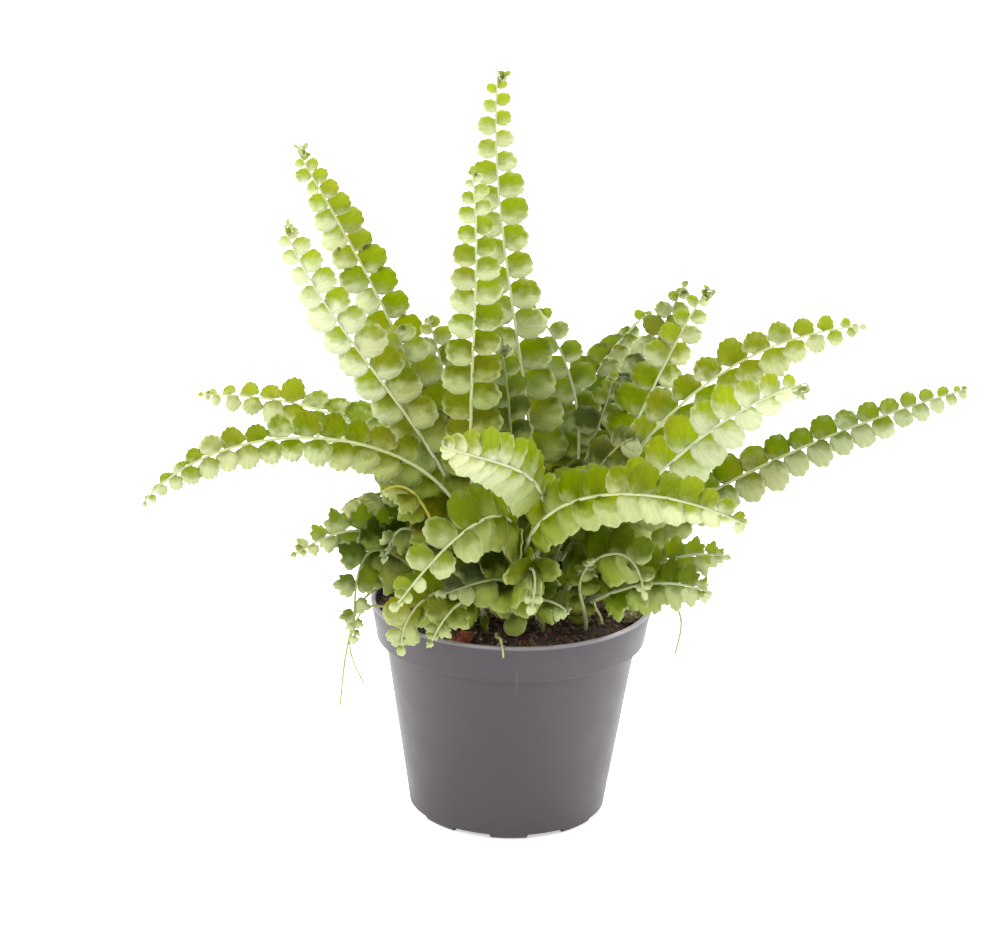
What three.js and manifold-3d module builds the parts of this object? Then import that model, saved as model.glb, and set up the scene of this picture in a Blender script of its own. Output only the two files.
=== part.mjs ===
// A small sword fern with rounded, scalloped leaflets, growing in a round nursery pot.
// Millimetres, +Z up, with the origin at the middle of the pot's underside.
// The front of the plant looks along -Y.
import * as THREE from "three";
import { mergeVertices } from "three/addons/utils/BufferGeometryUtils.js";
import Module from "manifold-3d";

// ---- Driving dimensions ----

// Room kept between pieces that rest on or in each other.
const GAP = 0.3;

// Pot: a thin-walled 12 cm nursery pot with a deep collar and eight feet.
const RIM_RADIUS = 60;
const POT_HEIGHT = 94;
const COLLAR_HEIGHT = 16.6;
const COLLAR_FOOT_RADIUS = 57.3;
const BODY_TOP_RADIUS = 53.7;
const BASE_RADIUS = 42.2;
const POT_WALL = 1.6;
const FLOOR_RISE = 2.4;
const BOSS_RADIUS = 16;
const FOOT_RING = 6;
const BASE_CORNER = 3;
const FOOT_COUNT = 8;
const FOOT_ANGLE = 22;
const FRONT_FOOT_ANGLE = -88.5;
const DRAIN_RADIUS = 3;
const DRAIN_RING_RADIUS = 27;
const DRAIN_SIDES = 8;
const BOSS_SLOPE = 1.5;
const RING_SLOPE = 1;
const LIP_DROP = 0.8;
const LIP_SET_BACK = 0.6;
const POT_SIDES = 28;

// Soil: filled almost to the rim, heaped a little round the crown.
const SOIL_DROP = 4;
const SOIL_HEAP = 2.2;
const SOIL_RELIEF = 0.9;
const SOIL_SLACK = 0.2;
const SOIL_RINGS = [42, 25, 10];
const SOIL_SIDES = 20;

// Fronds: a rib with a flat upper side and a keel, and fan-shaped leaflets in two rows.
const STALK_TOP = 94;
const STALK_DEPTH = 6;
const STALK_HALF_WIDTH = 1.05;
const TIP_HALF_WIDTH = 0.6;
const KEEL_SHARE = 1.2;
const RIB_PIECES = 90;
const HOLE_SIDES = 4;
const HOLE_RADIUS = 2.1;
const HOLE_LENGTH = 30;

// Leaflets: sizes in millimetres or as shares of the space between two pairs, angles in degrees.
const BLADE_THICKNESS = 0.7;
const WIDTH_SHARE = 0.94;
const WIDTH_SPREAD = 0.03;
const LENGTH_SHARE = 1;
const LENGTH_EXTRA = 0.9;
const CROWDING = 1.3;
const FOLD = -8;
const FOLD_SPREAD = 10;
const LEAN = 4;
const TIP_LEAN = 16;
const TWIST = 9;
const TWIST_SPREAD = 9;

// Least distances from a leaflet's middle plane to other leaflets, other ribs and its own rib.
const LEAFLET_CLEARANCE = 1.05;
const STALK_CLEARANCE = 1.9;
const OWN_RIB_CLEARANCE = 0.9;
const POT_CLEARANCE = 1.5;

// The coil of a young frond's tip.
const COIL_STEPS = 5;
const COIL_TURN = 58;
const COIL_RADIUS = 2.6;
const COIL_TIGHTENING = 0.22;

// Runners and roots.
const RUNNER_SIDES = 4;
const RUNNER_STEPS = 6;
const RUNNER_PIECES = 20;

// Directions from the left to the right row of leaflets, seen with the frond's upper side up.
const ACROSS = [1, 0, 0];
const LEFTWARD = [0.3, 0.6, 0.75];
const RIGHTWARD = [0.3, -0.6, -0.75];
const FORWARD = [-1, 0, 0];
const FORWARD_LEFT = [-0.3, 0.3, 0.9];
const FORWARD_RIGHT = [0, -0.3, -0.95];
const UPWARD = [0.35, 0.3, 0.9];
const DOWNWARD = [0.4, -0.1, -0.9];
const REAR_LEFT = [0.75, 0.66, 0];
const REAR_RIGHT = [0.75, -0.66, 0];

// Each frond: four points of its rib, at the soil, a third, two thirds and the whole of the way,
// then its leaflet pairs, the share of the rib left bare and the direction across its blade.
const FRONDS = [
  { name: "tall_back", rib: [[8, 8, 94], [6, 22, 162], [-6, 38, 234], [-11, 55, 307]],
    pairs: 15, bare: 0.28, across: ACROSS, tone: "fresh", curled: true },
  { name: "tall_front", rib: [[-6, -6, 94], [-18, -16, 155], [-18, -24, 221], [-20, -22, 282]],
    pairs: 14, bare: 0.3, across: ACROSS, tone: "fresh" },
  { name: "left_tall", rib: [[-10, 8, 94], [-35, 20, 166], [-65, 34, 226], [-94, 45, 274]],
    pairs: 14, bare: 0.32, across: ACROSS, tone: "fresh", curled: true },
  { name: "left_second", rib: [[-15, -4, 94], [-30, -12, 153], [-64, -22, 206], [-94, -34, 260]],
    pairs: 12, bare: 0.32, across: ACROSS, tone: "pale", curled: true },
  { name: "left_high_arch", rib: [[-16, 14, 94], [-45, 40, 137], [-85, 62, 156], [-139, 80, 157]],
    pairs: 11, bare: 0.3, across: LEFTWARD, tone: "fresh" },
  { name: "left_long_arch", rib: [[-18, -8, 94], [-36, -22, 155], [-94, -48, 177], [-148, -64, 154]],
    pairs: 16, bare: 0.26, across: LEFTWARD, tone: "fresh" },
  { name: "right_upper", rib: [[10, 2, 94], [36, 14, 135], [57, 26, 178], [79, 40, 219]],
    pairs: 10, bare: 0.3, across: ACROSS, tone: "fresh", curled: true },
  { name: "right_upper_back", rib: [[14, 14, 94], [34, 38, 142], [54, 66, 176], [73, 90, 209]],
    pairs: 9, bare: 0.35, across: ACROSS, tone: "deep" },
  { name: "right_far_back", rib: [[6, 22, 94], [17, 45, 146], [38, 80, 176], [58, 105, 192]],
    pairs: 9, bare: 0.38, across: ACROSS, tone: "middle" },
  { name: "right_long_arch", rib: [[17, -2, 94], [45, -10, 155], [84, -20, 201], [137, -32, 225]],
    pairs: 12, bare: 0.28, across: RIGHTWARD, tone: "fresh" },
  { name: "right_middle", rib: [[18, -12, 94], [42, -32, 140], [73, -55, 183], [111, -76, 213]],
    pairs: 10, bare: 0.3, across: DOWNWARD, tone: "pale", curled: true },
  { name: "right_long_low", rib: [[22, 6, 94], [73, 18, 130], [132, 28, 159], [193, 34, 181]],
    pairs: 16, bare: 0.22, across: RIGHTWARD, tone: "middle" },
  { name: "front_right_arch", rib: [[8, -18, 94], [12, -55, 148], [47, -88, 170], [89, -105, 164]],
    pairs: 10, bare: 0.4, across: FORWARD_RIGHT, tone: "fresh" },
  { name: "front_arch", rib: [[2, -12, 94], [12, -45, 150], [-2, -85, 179], [-27, -115, 196]],
    pairs: 8, bare: 0.45, across: UPWARD, tone: "pale" },
  { name: "front_left_low", rib: [[-4, -20, 94], [1, -32, 133], [-13, -62, 149], [-45, -98, 126]],
    pairs: 7, bare: 0.35, across: FORWARD_LEFT, tone: "fresh" },
  { name: "rim_front_left", rib: [[-22, -22, 94], [-28, -45, 112], [-39, -62, 111], [-44, -74, 99]],
    pairs: 4, bare: 0.35, across: FORWARD_LEFT, tone: "fresh" },
  { name: "rim_front_middle", rib: [[-12, -26, 94], [-15, -48, 110], [-23, -60, 111], [-32, -70, 100]],
    pairs: 4, bare: 0.4, across: FORWARD_LEFT, tone: "fresh" },
  { name: "left_low", rib: [[-24, -6, 94], [-42, -20, 120], [-62, -34, 134], [-88, -50, 129]],
    pairs: 6, bare: 0.4, across: LEFTWARD, tone: "middle" },
  { name: "left_hanging", rib: [[-22, -14, 94], [-45, -28, 119], [-60, -42, 126], [-64, -56, 96]],
    pairs: 5, bare: 0.4, across: FORWARD_LEFT, tone: "deep" },
  { name: "left_inner", rib: [[-25, 2, 94], [-34, -10, 106], [-49, -16, 115], [-58, -22, 109]],
    pairs: 4, bare: 0.35, across: FORWARD_LEFT, tone: "deep" },
  { name: "right_low_upper", rib: [[24, -10, 94], [43, -30, 111], [62, -44, 127], [85, -58, 135]],
    pairs: 6, bare: 0.35, across: RIGHTWARD, tone: "middle" },
  { name: "right_low", rib: [[26, -17, 94], [45, -40, 113], [62, -56, 122], [80, -66, 122]],
    pairs: 5, bare: 0.4, across: RIGHTWARD, tone: "middle" },
  { name: "front_rosette", rib: [[31, -28, 94], [29, -30, 104], [28, -33, 113], [32, -41, 125]],
    pairs: 4, bare: 0.3, across: ACROSS, tone: "fresh" },
  { name: "front_low", rib: [[5, -27, 94], [0, -40, 114], [-11, -50, 119], [-27, -58, 116]],
    pairs: 4, bare: 0.25, across: LEFTWARD, tone: "deep" },
  { name: "front_small", rib: [[13, -32, 94], [9, -44, 108], [15, -50, 111], [22, -56, 109]],
    pairs: 3, bare: 0.3, across: RIGHTWARD, tone: "middle" },
  { name: "middle_curled", rib: [[2, 2, 94], [0, 2, 127], [-2, 0, 166], [-7, -6, 206]],
    pairs: 8, bare: 0.35, across: ACROSS, tone: "deep", curled: true },
  { name: "middle_right", rib: [[15, 8, 94], [25, 20, 129], [26, 30, 170], [7, 40, 210]],
    pairs: 8, bare: 0.35, across: ACROSS, tone: "middle" },
  { name: "left_curled", rib: [[-7, 3, 94], [-22, 5, 132], [-38, -2, 177], [-50, -12, 214]],
    pairs: 6, bare: 0.4, across: ACROSS, tone: "middle" },
  { name: "left_small", rib: [[-4, 12, 94], [-17, 14, 132], [-28, 18, 175], [-38, 22, 210]],
    pairs: 7, bare: 0.4, across: ACROSS, tone: "middle" },
  { name: "yellowed", rib: [[-16, -16, 94], [-30, -22, 126], [-41, -28, 148], [-54, -34, 151]],
    pairs: 5, bare: 0.45, across: LEFTWARD, tone: "yellow" },
  { name: "middle_left", rib: [[-12, 0, 94], [-31, -4, 120], [-45, -8, 148], [-59, -12, 155]],
    pairs: 5, bare: 0.35, across: LEFTWARD, tone: "deep" },
  { name: "middle_low", rib: [[13, -6, 94], [22, -8, 127], [35, -12, 156], [48, -18, 171]],
    pairs: 4, bare: 0.35, across: RIGHTWARD, tone: "deep" },
  { name: "right_inner", rib: [[10, 13, 94], [20, 16, 124], [32, 24, 153], [41, 32, 182]],
    pairs: 5, bare: 0.35, across: ACROSS, tone: "deep" },
  { name: "front_drooping", rib: [[-2, -35, 94], [3, -47, 119], [8, -58, 127], [8, -67, 115]],
    pairs: 4, bare: 0.3, across: FORWARD, tone: "middle" },
  { name: "right_drooping", rib: [[18, -24, 94], [30, -34, 120], [44, -48, 131], [53, -61, 120]],
    pairs: 5, bare: 0.3, across: FORWARD_RIGHT, tone: "middle" },
  { name: "left_drooping", rib: [[-29, -14, 94], [-35, -19, 118], [-44, -28, 133], [-52, -42, 126]],
    pairs: 4, bare: 0.3, across: UPWARD, tone: "middle" },
  { name: "inner_right", rib: [[21, 2, 94], [28, 3, 117], [40, 0, 129], [53, -10, 134]],
    pairs: 4, bare: 0.25, across: RIGHTWARD, tone: "deep" },
  { name: "inner_upper", rib: [[9, -8, 94], [12, -10, 123], [18, -15, 142], [30, -22, 158]],
    pairs: 4, bare: 0.25, across: ACROSS, tone: "deep" },
  { name: "inner_left", rib: [[-20, 3, 94], [-26, 4, 120], [-37, 6, 135], [-52, 4, 137]],
    pairs: 5, bare: 0.25, across: LEFTWARD, tone: "deep" },
  { name: "inner_middle", rib: [[-2, -1, 94], [-4, -6, 122], [-8, -11, 136], [-15, -17, 148]],
    pairs: 4, bare: 0.25, across: ACROSS, tone: "deep" },
  { name: "rear_middle", rib: [[2, 16, 94], [4, 60, 150], [0, 105, 170], [-4, 140, 150]],
    pairs: 6, bare: 0.4, across: ACROSS, tone: "middle" },
  { name: "rear_left", rib: [[-8, 18, 94], [-34, 60, 140], [-62, 95, 150], [-88, 118, 125]],
    pairs: 7, bare: 0.4, across: REAR_LEFT, tone: "middle" },
  { name: "rear_right", rib: [[16, 20, 94], [40, 58, 140], [68, 90, 148], [96, 112, 125]],
    pairs: 7, bare: 0.4, across: REAR_RIGHT, tone: "middle" },
  { name: "rear_low_left", rib: [[-24, 12, 94], [-44, 30, 118], [-62, 48, 120], [-74, 60, 108]],
    pairs: 4, bare: 0.4, across: REAR_LEFT, tone: "deep" },
  { name: "rear_low_right", rib: [[26, 14, 94], [46, 32, 118], [64, 50, 120], [76, 64, 112]],
    pairs: 4, bare: 0.4, across: REAR_RIGHT, tone: "deep" },
  { name: "rear_drooping", rib: [[0, 31, 94], [-4, 44, 118], [-10, 57, 126], [-16, 69, 116]],
    pairs: 4, bare: 0.3, across: ACROSS, tone: "middle" },
  { name: "rear_drooping_right", rib: [[18, 28, 94], [26, 40, 116], [38, 52, 124], [50, 62, 116]],
    pairs: 4, bare: 0.3, across: REAR_RIGHT, tone: "middle" },
  { name: "rear_drooping_left", rib: [[-20, 26, 94], [-30, 38, 118], [-42, 48, 126], [-54, 58, 118]],
    pairs: 4, bare: 0.3, across: REAR_LEFT, tone: "middle" },
];

// Each runner or root: the points that it passes through, from the soil to its free end.
const RUNNERS = [
  { name: "runner_left", radius: 0.7,
    route: [[-46, 9, 94], [-52, 3, 97], [-60, -6, 96.5], [-66, -10, 88], [-70, -12, 69], [-72, -14, 48]] },
  { name: "root_left", radius: 0.6,
    route: [[-46, -22, 93.5], [-54, -26, 98], [-62, -29, 97], [-67, -31, 84], [-65, -32, 74],
      [-61, -33, 66]] },
  { name: "runner_right", radius: 0.7,
    route: [[50, 6, 93.5], [58, 2, 98.5], [66, -6, 99], [71, -9, 92], [72, -10, 85], [70, -11, 74]] },
  { name: "root_front", radius: 0.6,
    route: [[-6, -43, 93.5], [-6, -50, 94.5], [-4.5, -57, 96.5], [-3.5, -62.2, 94.5], [-3, -62.6, 90.5]] },
  { name: "root_front_right", radius: 0.6,
    route: [[38, -29, 93.5], [37, -29.5, 97], [35, -30, 101], [34, -30, 104]] },
  { name: "old_stalk", radius: 1.1,
    route: [[7, -14, 94], [8, -15, 103], [11, -16, 111], [16, -21, 111.5], [20, -26, 109]] },
];

const TONES = {
  fresh: "#94a81c",
  pale: "#b9c867",
  middle: "#7f9638",
  deep: "#566a20",
  yellow: "#ad9a1c",
};
const POT_COLOUR = "#6d676c";
const SOIL_COLOUR = "#33241b";
const RUNNER_COLOUR = "#7d8048";

// ---- Small helpers ----

const wasm = await Module();
wasm.setup();

const radians = THREE.MathUtils.degToRad;
const toVector = (point) => new THREE.Vector3(...point);

// A number from -1 to 1 that is always the same for the same two whole numbers.
function draw(first, second) {
  const value = Math.sin(first * 127.1 + second * 311.7) * 43758.5453;
  return 2 * (value - Math.floor(value)) - 1;
}

function geometryFrom(points, triangles) {
  const geometry = new THREE.BufferGeometry();
  geometry.setAttribute("position", new THREE.BufferAttribute(new Float32Array(points), 3));
  geometry.setIndex(triangles);
  return geometry;
}

// Only positions, with equal corners merged and faces without area dropped.
function merged(geometry) {
  const bare = geometry.clone();
  bare.deleteAttribute("normal");
  bare.deleteAttribute("uv");
  const joined = mergeVertices(bare, 1e-4);
  const kept = [];
  const index = joined.index.array;
  for (let i = 0; i < index.length; i += 3) {
    const [a, b, c] = [index[i], index[i + 1], index[i + 2]];
    if (a !== b && b !== c && c !== a) {
      kept.push(a, b, c);
    }
  }
  joined.setIndex(kept);
  return joined;
}

function solid(geometry) {
  const clean = merged(geometry);
  const vertProperties = new Float32Array(clean.attributes.position.array);
  const triVerts = new Uint32Array(clean.index.array);
  return new wasm.Manifold(new wasm.Mesh({ numProp: 3, vertProperties, triVerts }));
}

function fromSolid(body) {
  const { vertProperties, triVerts } = body.getMesh();
  return geometryFrom(vertProperties, Array.from(triVerts));
}

// A body turned about the Z axis from a profile of [radius, height] points.
function turned(profile, sides) {
  const points = profile.map(([radius, height]) => new THREE.Vector2(radius, height));
  return merged(new THREE.LatheGeometry(points, sides).rotateX(Math.PI / 2));
}

function named(name, geometry, colour, roughness) {
  const material = new THREE.MeshStandardMaterial({ color: colour, roughness, metalness: 0 });
  const mesh = new THREE.Mesh(geometry.index ? geometry : merged(geometry), material);
  mesh.name = name;
  return mesh;
}

// ---- Pot ----

const COLLAR_FOOT = POT_HEIGHT - COLLAR_HEIGHT;
const SHOULDER = COLLAR_FOOT - POT_WALL / 4;

// The inner radius of the pot at a height above its inner corner.
function innerRadius(height) {
  if (height > COLLAR_FOOT) {
    const share = (height - COLLAR_FOOT) / COLLAR_HEIGHT;
    return THREE.MathUtils.lerp(COLLAR_FOOT_RADIUS, RIM_RADIUS, share) - POT_WALL;
  }
  return THREE.MathUtils.lerp(BASE_RADIUS, BODY_TOP_RADIUS, height / COLLAR_FOOT) - POT_WALL;
}

function potProfile() {
  const floorTop = FLOOR_RISE + POT_WALL;
  const ringInside = BASE_RADIUS - BASE_CORNER - FOOT_RING;
  return [
    [0, 0],
    [BOSS_RADIUS, 0],
    [BOSS_RADIUS + BOSS_SLOPE, FLOOR_RISE],
    [ringInside - RING_SLOPE, FLOOR_RISE],
    [ringInside, 0],
    [BASE_RADIUS - BASE_CORNER, 0],
    [BASE_RADIUS, BASE_CORNER],
    [BODY_TOP_RADIUS, COLLAR_FOOT],
    [COLLAR_FOOT_RADIUS, COLLAR_FOOT],
    [RIM_RADIUS, POT_HEIGHT - LIP_DROP],
    [RIM_RADIUS - LIP_SET_BACK, POT_HEIGHT],
    [innerRadius(POT_HEIGHT), POT_HEIGHT - LIP_DROP / 2],
    [innerRadius(COLLAR_FOOT + POT_WALL), COLLAR_FOOT + POT_WALL],
    [BODY_TOP_RADIUS - POT_WALL, SHOULDER],
    [innerRadius(floorTop), floorTop],
    [0, floorTop],
  ];
}

// One of the low arches between two feet, cut through the ring that the pot stands on.
function footGap(angle) {
  const pitch = 360 / FOOT_COUNT;
  const width = 2 * BASE_RADIUS * Math.sin(radians(pitch - FOOT_ANGLE) / 2);
  const length = FOOT_RING + 2 * BASE_CORNER;
  const inside = BASE_RADIUS - BASE_CORNER - FOOT_RING - RING_SLOPE / 2;
  const box = new THREE.BoxGeometry(length, width, 2 * FLOOR_RISE);
  box.translate(inside + length / 2, 0, 0);
  return box.rotateZ(radians(angle));
}

function drainHole(angle) {
  const hole = new THREE.CylinderGeometry(DRAIN_RADIUS, DRAIN_RADIUS, 4 * POT_WALL, DRAIN_SIDES);
  hole.rotateX(Math.PI / 2);
  hole.translate(DRAIN_RING_RADIUS, 0, FLOOR_RISE + POT_WALL / 2);
  return hole.rotateZ(radians(angle));
}

function pot() {
  let body = solid(turned(potProfile(), POT_SIDES));
  for (let i = 0; i < FOOT_COUNT; i += 1) {
    const angle = FRONT_FOOT_ANGLE + (i + 0.5) * (360 / FOOT_COUNT);
    body = body.subtract(solid(footGap(angle)));
    if (i % 2 === 0) {
      body = body.subtract(solid(drainHole(angle)));
    }
  }
  return named("pot", fromSolid(body), POT_COLOUR, 0.55);
}

// ---- Soil ----

const SOIL_EDGE = POT_HEIGHT - SOIL_DROP;

// Height of the soil: a low heap round the crown, with a small regular unevenness.
function soilHeight(x, y) {
  const reach = Math.min(1, Math.hypot(x, y) / RIM_RADIUS);
  const heap = SOIL_HEAP * (1 - reach * reach);
  return SOIL_EDGE + heap + SOIL_RELIEF * Math.sin(x / 5.3 + 0.8) * Math.sin(y / 4.7 + 0.4);
}

// The plain hole that a frond's foot stands in.
function soilHole(foot) {
  const [x, y] = foot;
  const hole = new THREE.CylinderGeometry(HOLE_RADIUS, HOLE_RADIUS, HOLE_LENGTH, HOLE_SIDES);
  hole.rotateX(Math.PI / 2);
  return hole.translate(x, y, STALK_TOP - STALK_DEPTH - 2 * GAP + HOLE_LENGTH / 2);
}

function soil() {
  const low = FLOOR_RISE + POT_WALL + GAP;
  const ledge = COLLAR_FOOT + POT_WALL;
  const inset = GAP + SOIL_SLACK;
  const edge = innerRadius(SOIL_EDGE) - inset;
  const profile = [
    [0, low],
    [innerRadius(low) - inset, low],
    [BODY_TOP_RADIUS - POT_WALL - inset - SOIL_SLACK, SHOULDER + GAP],
    [innerRadius(ledge) - inset - SOIL_SLACK, ledge + 2 * GAP],
    [edge, SOIL_EDGE],
    ...SOIL_RINGS.map((radius) => [radius, SOIL_EDGE]),
    [0, SOIL_EDGE],
  ];
  const lump = turned(profile, SOIL_SIDES);
  const position = lump.attributes.position;
  for (let i = 0; i < position.count; i += 1) {
    const onTop = position.getZ(i) > SOIL_EDGE - GAP;
    if (onTop && Math.hypot(position.getX(i), position.getY(i)) <= SOIL_RINGS[0] + GAP) {
      position.setZ(i, soilHeight(position.getX(i), position.getY(i)));
    }
  }
  let body = solid(lump);
  for (const frond of FRONDS) {
    body = body.subtract(solid(soilHole(frond.rib[0])));
  }
  return named("soil", fromSolid(body), SOIL_COLOUR, 0.95);
}

// ---- Runners ----

function runnerCurve(runner) {
  return new THREE.CatmullRomCurve3(runner.route.map(toVector));
}

function runner(spec) {
  const section = new THREE.Shape();
  for (let i = 0; i < RUNNER_SIDES; i += 1) {
    const angle = (2 * Math.PI * i) / RUNNER_SIDES;
    const corner = [spec.radius * Math.cos(angle), spec.radius * Math.sin(angle)];
    if (i === 0) {
      section.moveTo(...corner);
    } else {
      section.lineTo(...corner);
    }
  }
  const options = { steps: RUNNER_STEPS, extrudePath: runnerCurve(spec), bevelEnabled: false };
  return named(spec.name, merged(new THREE.ExtrudeGeometry(section, options)), RUNNER_COLOUR, 0.7);
}

// ---- Fronds ----

// A point of the rib, on the cubic through its four points.
function ribPoint(rib, t) {
  const [a, b, c, d] = rib.map(toVector);
  a.multiplyScalar(((1 - 3 * t) * (2 - 3 * t) * (1 - t)) / 2);
  b.multiplyScalar((9 * t * (2 - 3 * t) * (1 - t)) / 2);
  c.multiplyScalar((9 * t * (3 * t - 1) * (1 - t)) / 2);
  d.multiplyScalar((t * (3 * t - 1) * (3 * t - 2)) / 2);
  return a.add(b).add(c).add(d);
}

// The side and the upper face of a frond whose rib runs along a direction.
function crossDirections(frond, along) {
  const side = toVector(frond.across).projectOnPlane(along).normalize();
  return { side, face: side.clone().cross(along) };
}

// Where the rib is at t, where it runs to, and the side and the face of the frond there.
function station(frond, t) {
  const step = 0.002;
  const centre = ribPoint(frond.rib, t);
  const along = ribPoint(frond.rib, t + step).sub(ribPoint(frond.rib, t - step)).normalize();
  const halfWidth = THREE.MathUtils.lerp(STALK_HALF_WIDTH, TIP_HALF_WIDTH, t);
  return { centre, along, halfWidth, ...crossDirections(frond, along) };
}

// The outline of a leaflet about its middle: angles from its axis, and radii as shares of its
// size. A large one has a notch between two round teeth, a small one near the tip has none.
const OUTLINES = [
  { below: 7.5, shape: [[-80, 0.52], [0, 0.5], [80, 0.52]] },
  { below: 12, shape: [[-105, 0.54], [-36, 0.58], [36, 0.58], [105, 0.54]] },
  { below: Infinity, shape: [[-108, 0.55], [-40, 0.58], [0, 0.47], [40, 0.58], [108, 0.55]] },
];

// A leaflet growing from one side of the rib, folded by an angle about it.
function leafletAt(place, handed, size, angles) {
  const out = place.side.clone().multiplyScalar(handed);
  const raised = out.clone().multiplyScalar(Math.cos(angles.fold));
  raised.addScaledVector(place.face, Math.sin(angles.fold));
  const axis = raised.clone().multiplyScalar(Math.cos(angles.lean));
  axis.addScaledVector(place.along, Math.sin(angles.lean));
  const flatNormal = place.face.clone().multiplyScalar(Math.cos(angles.fold));
  flatNormal.addScaledVector(out, -Math.sin(angles.fold));
  const flatCross = place.along.clone().multiplyScalar(Math.cos(angles.lean));
  flatCross.addScaledVector(raised, -Math.sin(angles.lean));
  const cross = flatCross.clone().multiplyScalar(Math.cos(angles.twist));
  cross.addScaledVector(flatNormal, Math.sin(angles.twist));
  const normal = flatNormal.multiplyScalar(Math.cos(angles.twist));
  normal.addScaledVector(flatCross, -Math.sin(angles.twist));
  const root = place.centre.clone().addScaledVector(out, place.halfWidth);
  const middle = root.clone().addScaledVector(axis, size.length / 2);
  const { shape } = OUTLINES.find(({ below }) => size.width < below);
  const outline = shape.map(([angle, radius]) => {
    const point = middle.clone();
    point.addScaledVector(axis, size.length * radius * Math.cos(radians(angle)));
    return point.addScaledVector(cross, size.width * radius * Math.sin(radians(angle)));
  });
  return { root, middle, axis, cross, normal, size, outline, handed };
}

// Half of a leaflet's length or width, as a share of it, up to its furthest teeth.
const LEAFLET_REACH = 0.54;

// True where the line between two points comes within a margin of a leaflet,
// taken as a flat oval.
function lineMeetsLeaflet(from, to, leaflet, margin) {
  const scaled = (point) => {
    const offset = point.clone().sub(leaflet.middle);
    return new THREE.Vector3(
      offset.dot(leaflet.axis) / (LEAFLET_REACH * leaflet.size.length + margin / 2),
      offset.dot(leaflet.cross) / (LEAFLET_REACH * leaflet.size.width + margin / 2),
      offset.dot(leaflet.normal) / margin,
    );
  };
  const start = scaled(from);
  const step = scaled(to).sub(start);
  const crossings = [(-1 - start.z) / step.z, (1 - start.z) / step.z];
  const enter = Math.max(0, Math.min(...crossings));
  const leave = Math.min(1, Math.max(...crossings));
  if (!(enter <= leave)) {
    return false;
  }
  const nearest = -(start.x * step.x + start.y * step.y) / (step.x ** 2 + step.y ** 2);
  const t = THREE.MathUtils.clamp(nearest, enter, leave);
  return Math.hypot(start.x + t * step.x, start.y + t * step.y) < 1;
}

function leafletEdges(leaflet) {
  const loop = [leaflet.root, ...leaflet.outline, leaflet.root];
  return loop.slice(1).map((point, i) => [loop[i], point]);
}

function leafletsMeet(one, other) {
  const reach = 0.7 * (one.size.length + other.size.length);
  if (one.middle.distanceTo(other.middle) > reach) {
    return false;
  }
  const meets = (edges, leaflet) =>
    edges.some(([from, to]) => lineMeetsLeaflet(from, to, leaflet, LEAFLET_CLEARANCE));
  return meets(leafletEdges(one), other) || meets(leafletEdges(other), one);
}

// The leaflet's own rib is left out near the leaflet's root.
function stalkMeets(leaflet, { pieces, own }) {
  const reach = 2 * leaflet.size.length + 2 * STALK_CLEARANCE;
  const clearance = own ? OWN_RIB_CLEARANCE : STALK_CLEARANCE;
  const near = (...ends) => ends.some((end) => end.distanceTo(leaflet.root) < leaflet.size.width / 2);
  return pieces.some(([from, to]) =>
    from.distanceTo(leaflet.middle) < reach
    && !(own && near(from, to))
    && lineMeetsLeaflet(from, to, leaflet, clearance));
}

// Outside the pot a point stays off its wall, inside it stays above the soil.
function clearOfPot(point) {
  const radius = Math.hypot(point.x, point.y);
  if (radius > RIM_RADIUS + POT_CLEARANCE || point.z > POT_HEIGHT + POT_CLEARANCE) {
    return true;
  }
  const aboveSoil = point.z > SOIL_EDGE + SOIL_HEAP + POT_CLEARANCE;
  return aboveSoil && radius < innerRadius(POT_HEIGHT) - 2 * POT_CLEARANCE;
}

function straightPieces(points) {
  return points.slice(1).map((point, i) => [points[i], point]);
}

function ribPieces(frond) {
  const points = [];
  for (let i = 0; i <= RIB_PIECES; i += 1) {
    points.push(ribPoint(frond.rib, i / RIB_PIECES));
  }
  return straightPieces(points);
}

// What is tried in turn until a leaflet is clear: a further fold in degrees, and a smaller size.
const FOLD_TRIES = [0, 12, -12, -24, 24, -38, -52, -64];
const SIZE_TRIES = [1, 0.8];

// The leaflet at its wanted fold, or bent clear of what is already there, or else none.
function fittedLeaflet(place, handed, size, angles, taken, stalks) {
  for (const scale of SIZE_TRIES) {
    for (const extra of FOLD_TRIES) {
      const tried = { length: size.length * scale, width: size.width * scale };
      const bent = { ...angles, fold: angles.fold + radians(extra) };
      const leaflet = leafletAt(place, handed, tried, bent);
      const clear = [...leaflet.outline, leaflet.middle].every(clearOfPot)
        && !taken.some((other) => leafletsMeet(leaflet, other))
        && !stalks.some((stalk) => stalkMeets(leaflet, stalk));
      if (clear) {
        return leaflet;
      }
    }
  }
  return null;
}

// Leaflet pairs stand closer and are smaller towards the tip.
function pairPosition(frond, i) {
  return frond.bare + (1 - frond.bare) * (1 - (1 - i / frond.pairs) ** CROWDING);
}

// The two leaflets of a pair draw their size and angles by the frond's and their own number.
function leafletSize(pitch, order, key) {
  const width = pitch * (WIDTH_SHARE + WIDTH_SPREAD * draw(order, key));
  return { width, length: width * LENGTH_SHARE + LENGTH_EXTRA };
}

function leafletAngles(share, order, key) {
  return {
    fold: radians(FOLD + FOLD_SPREAD * draw(order, key + 100)),
    lean: radians(LEAN + TIP_LEAN * share ** 2),
    twist: radians(TWIST + TWIST_SPREAD * draw(order, key + 200)),
  };
}

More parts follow.
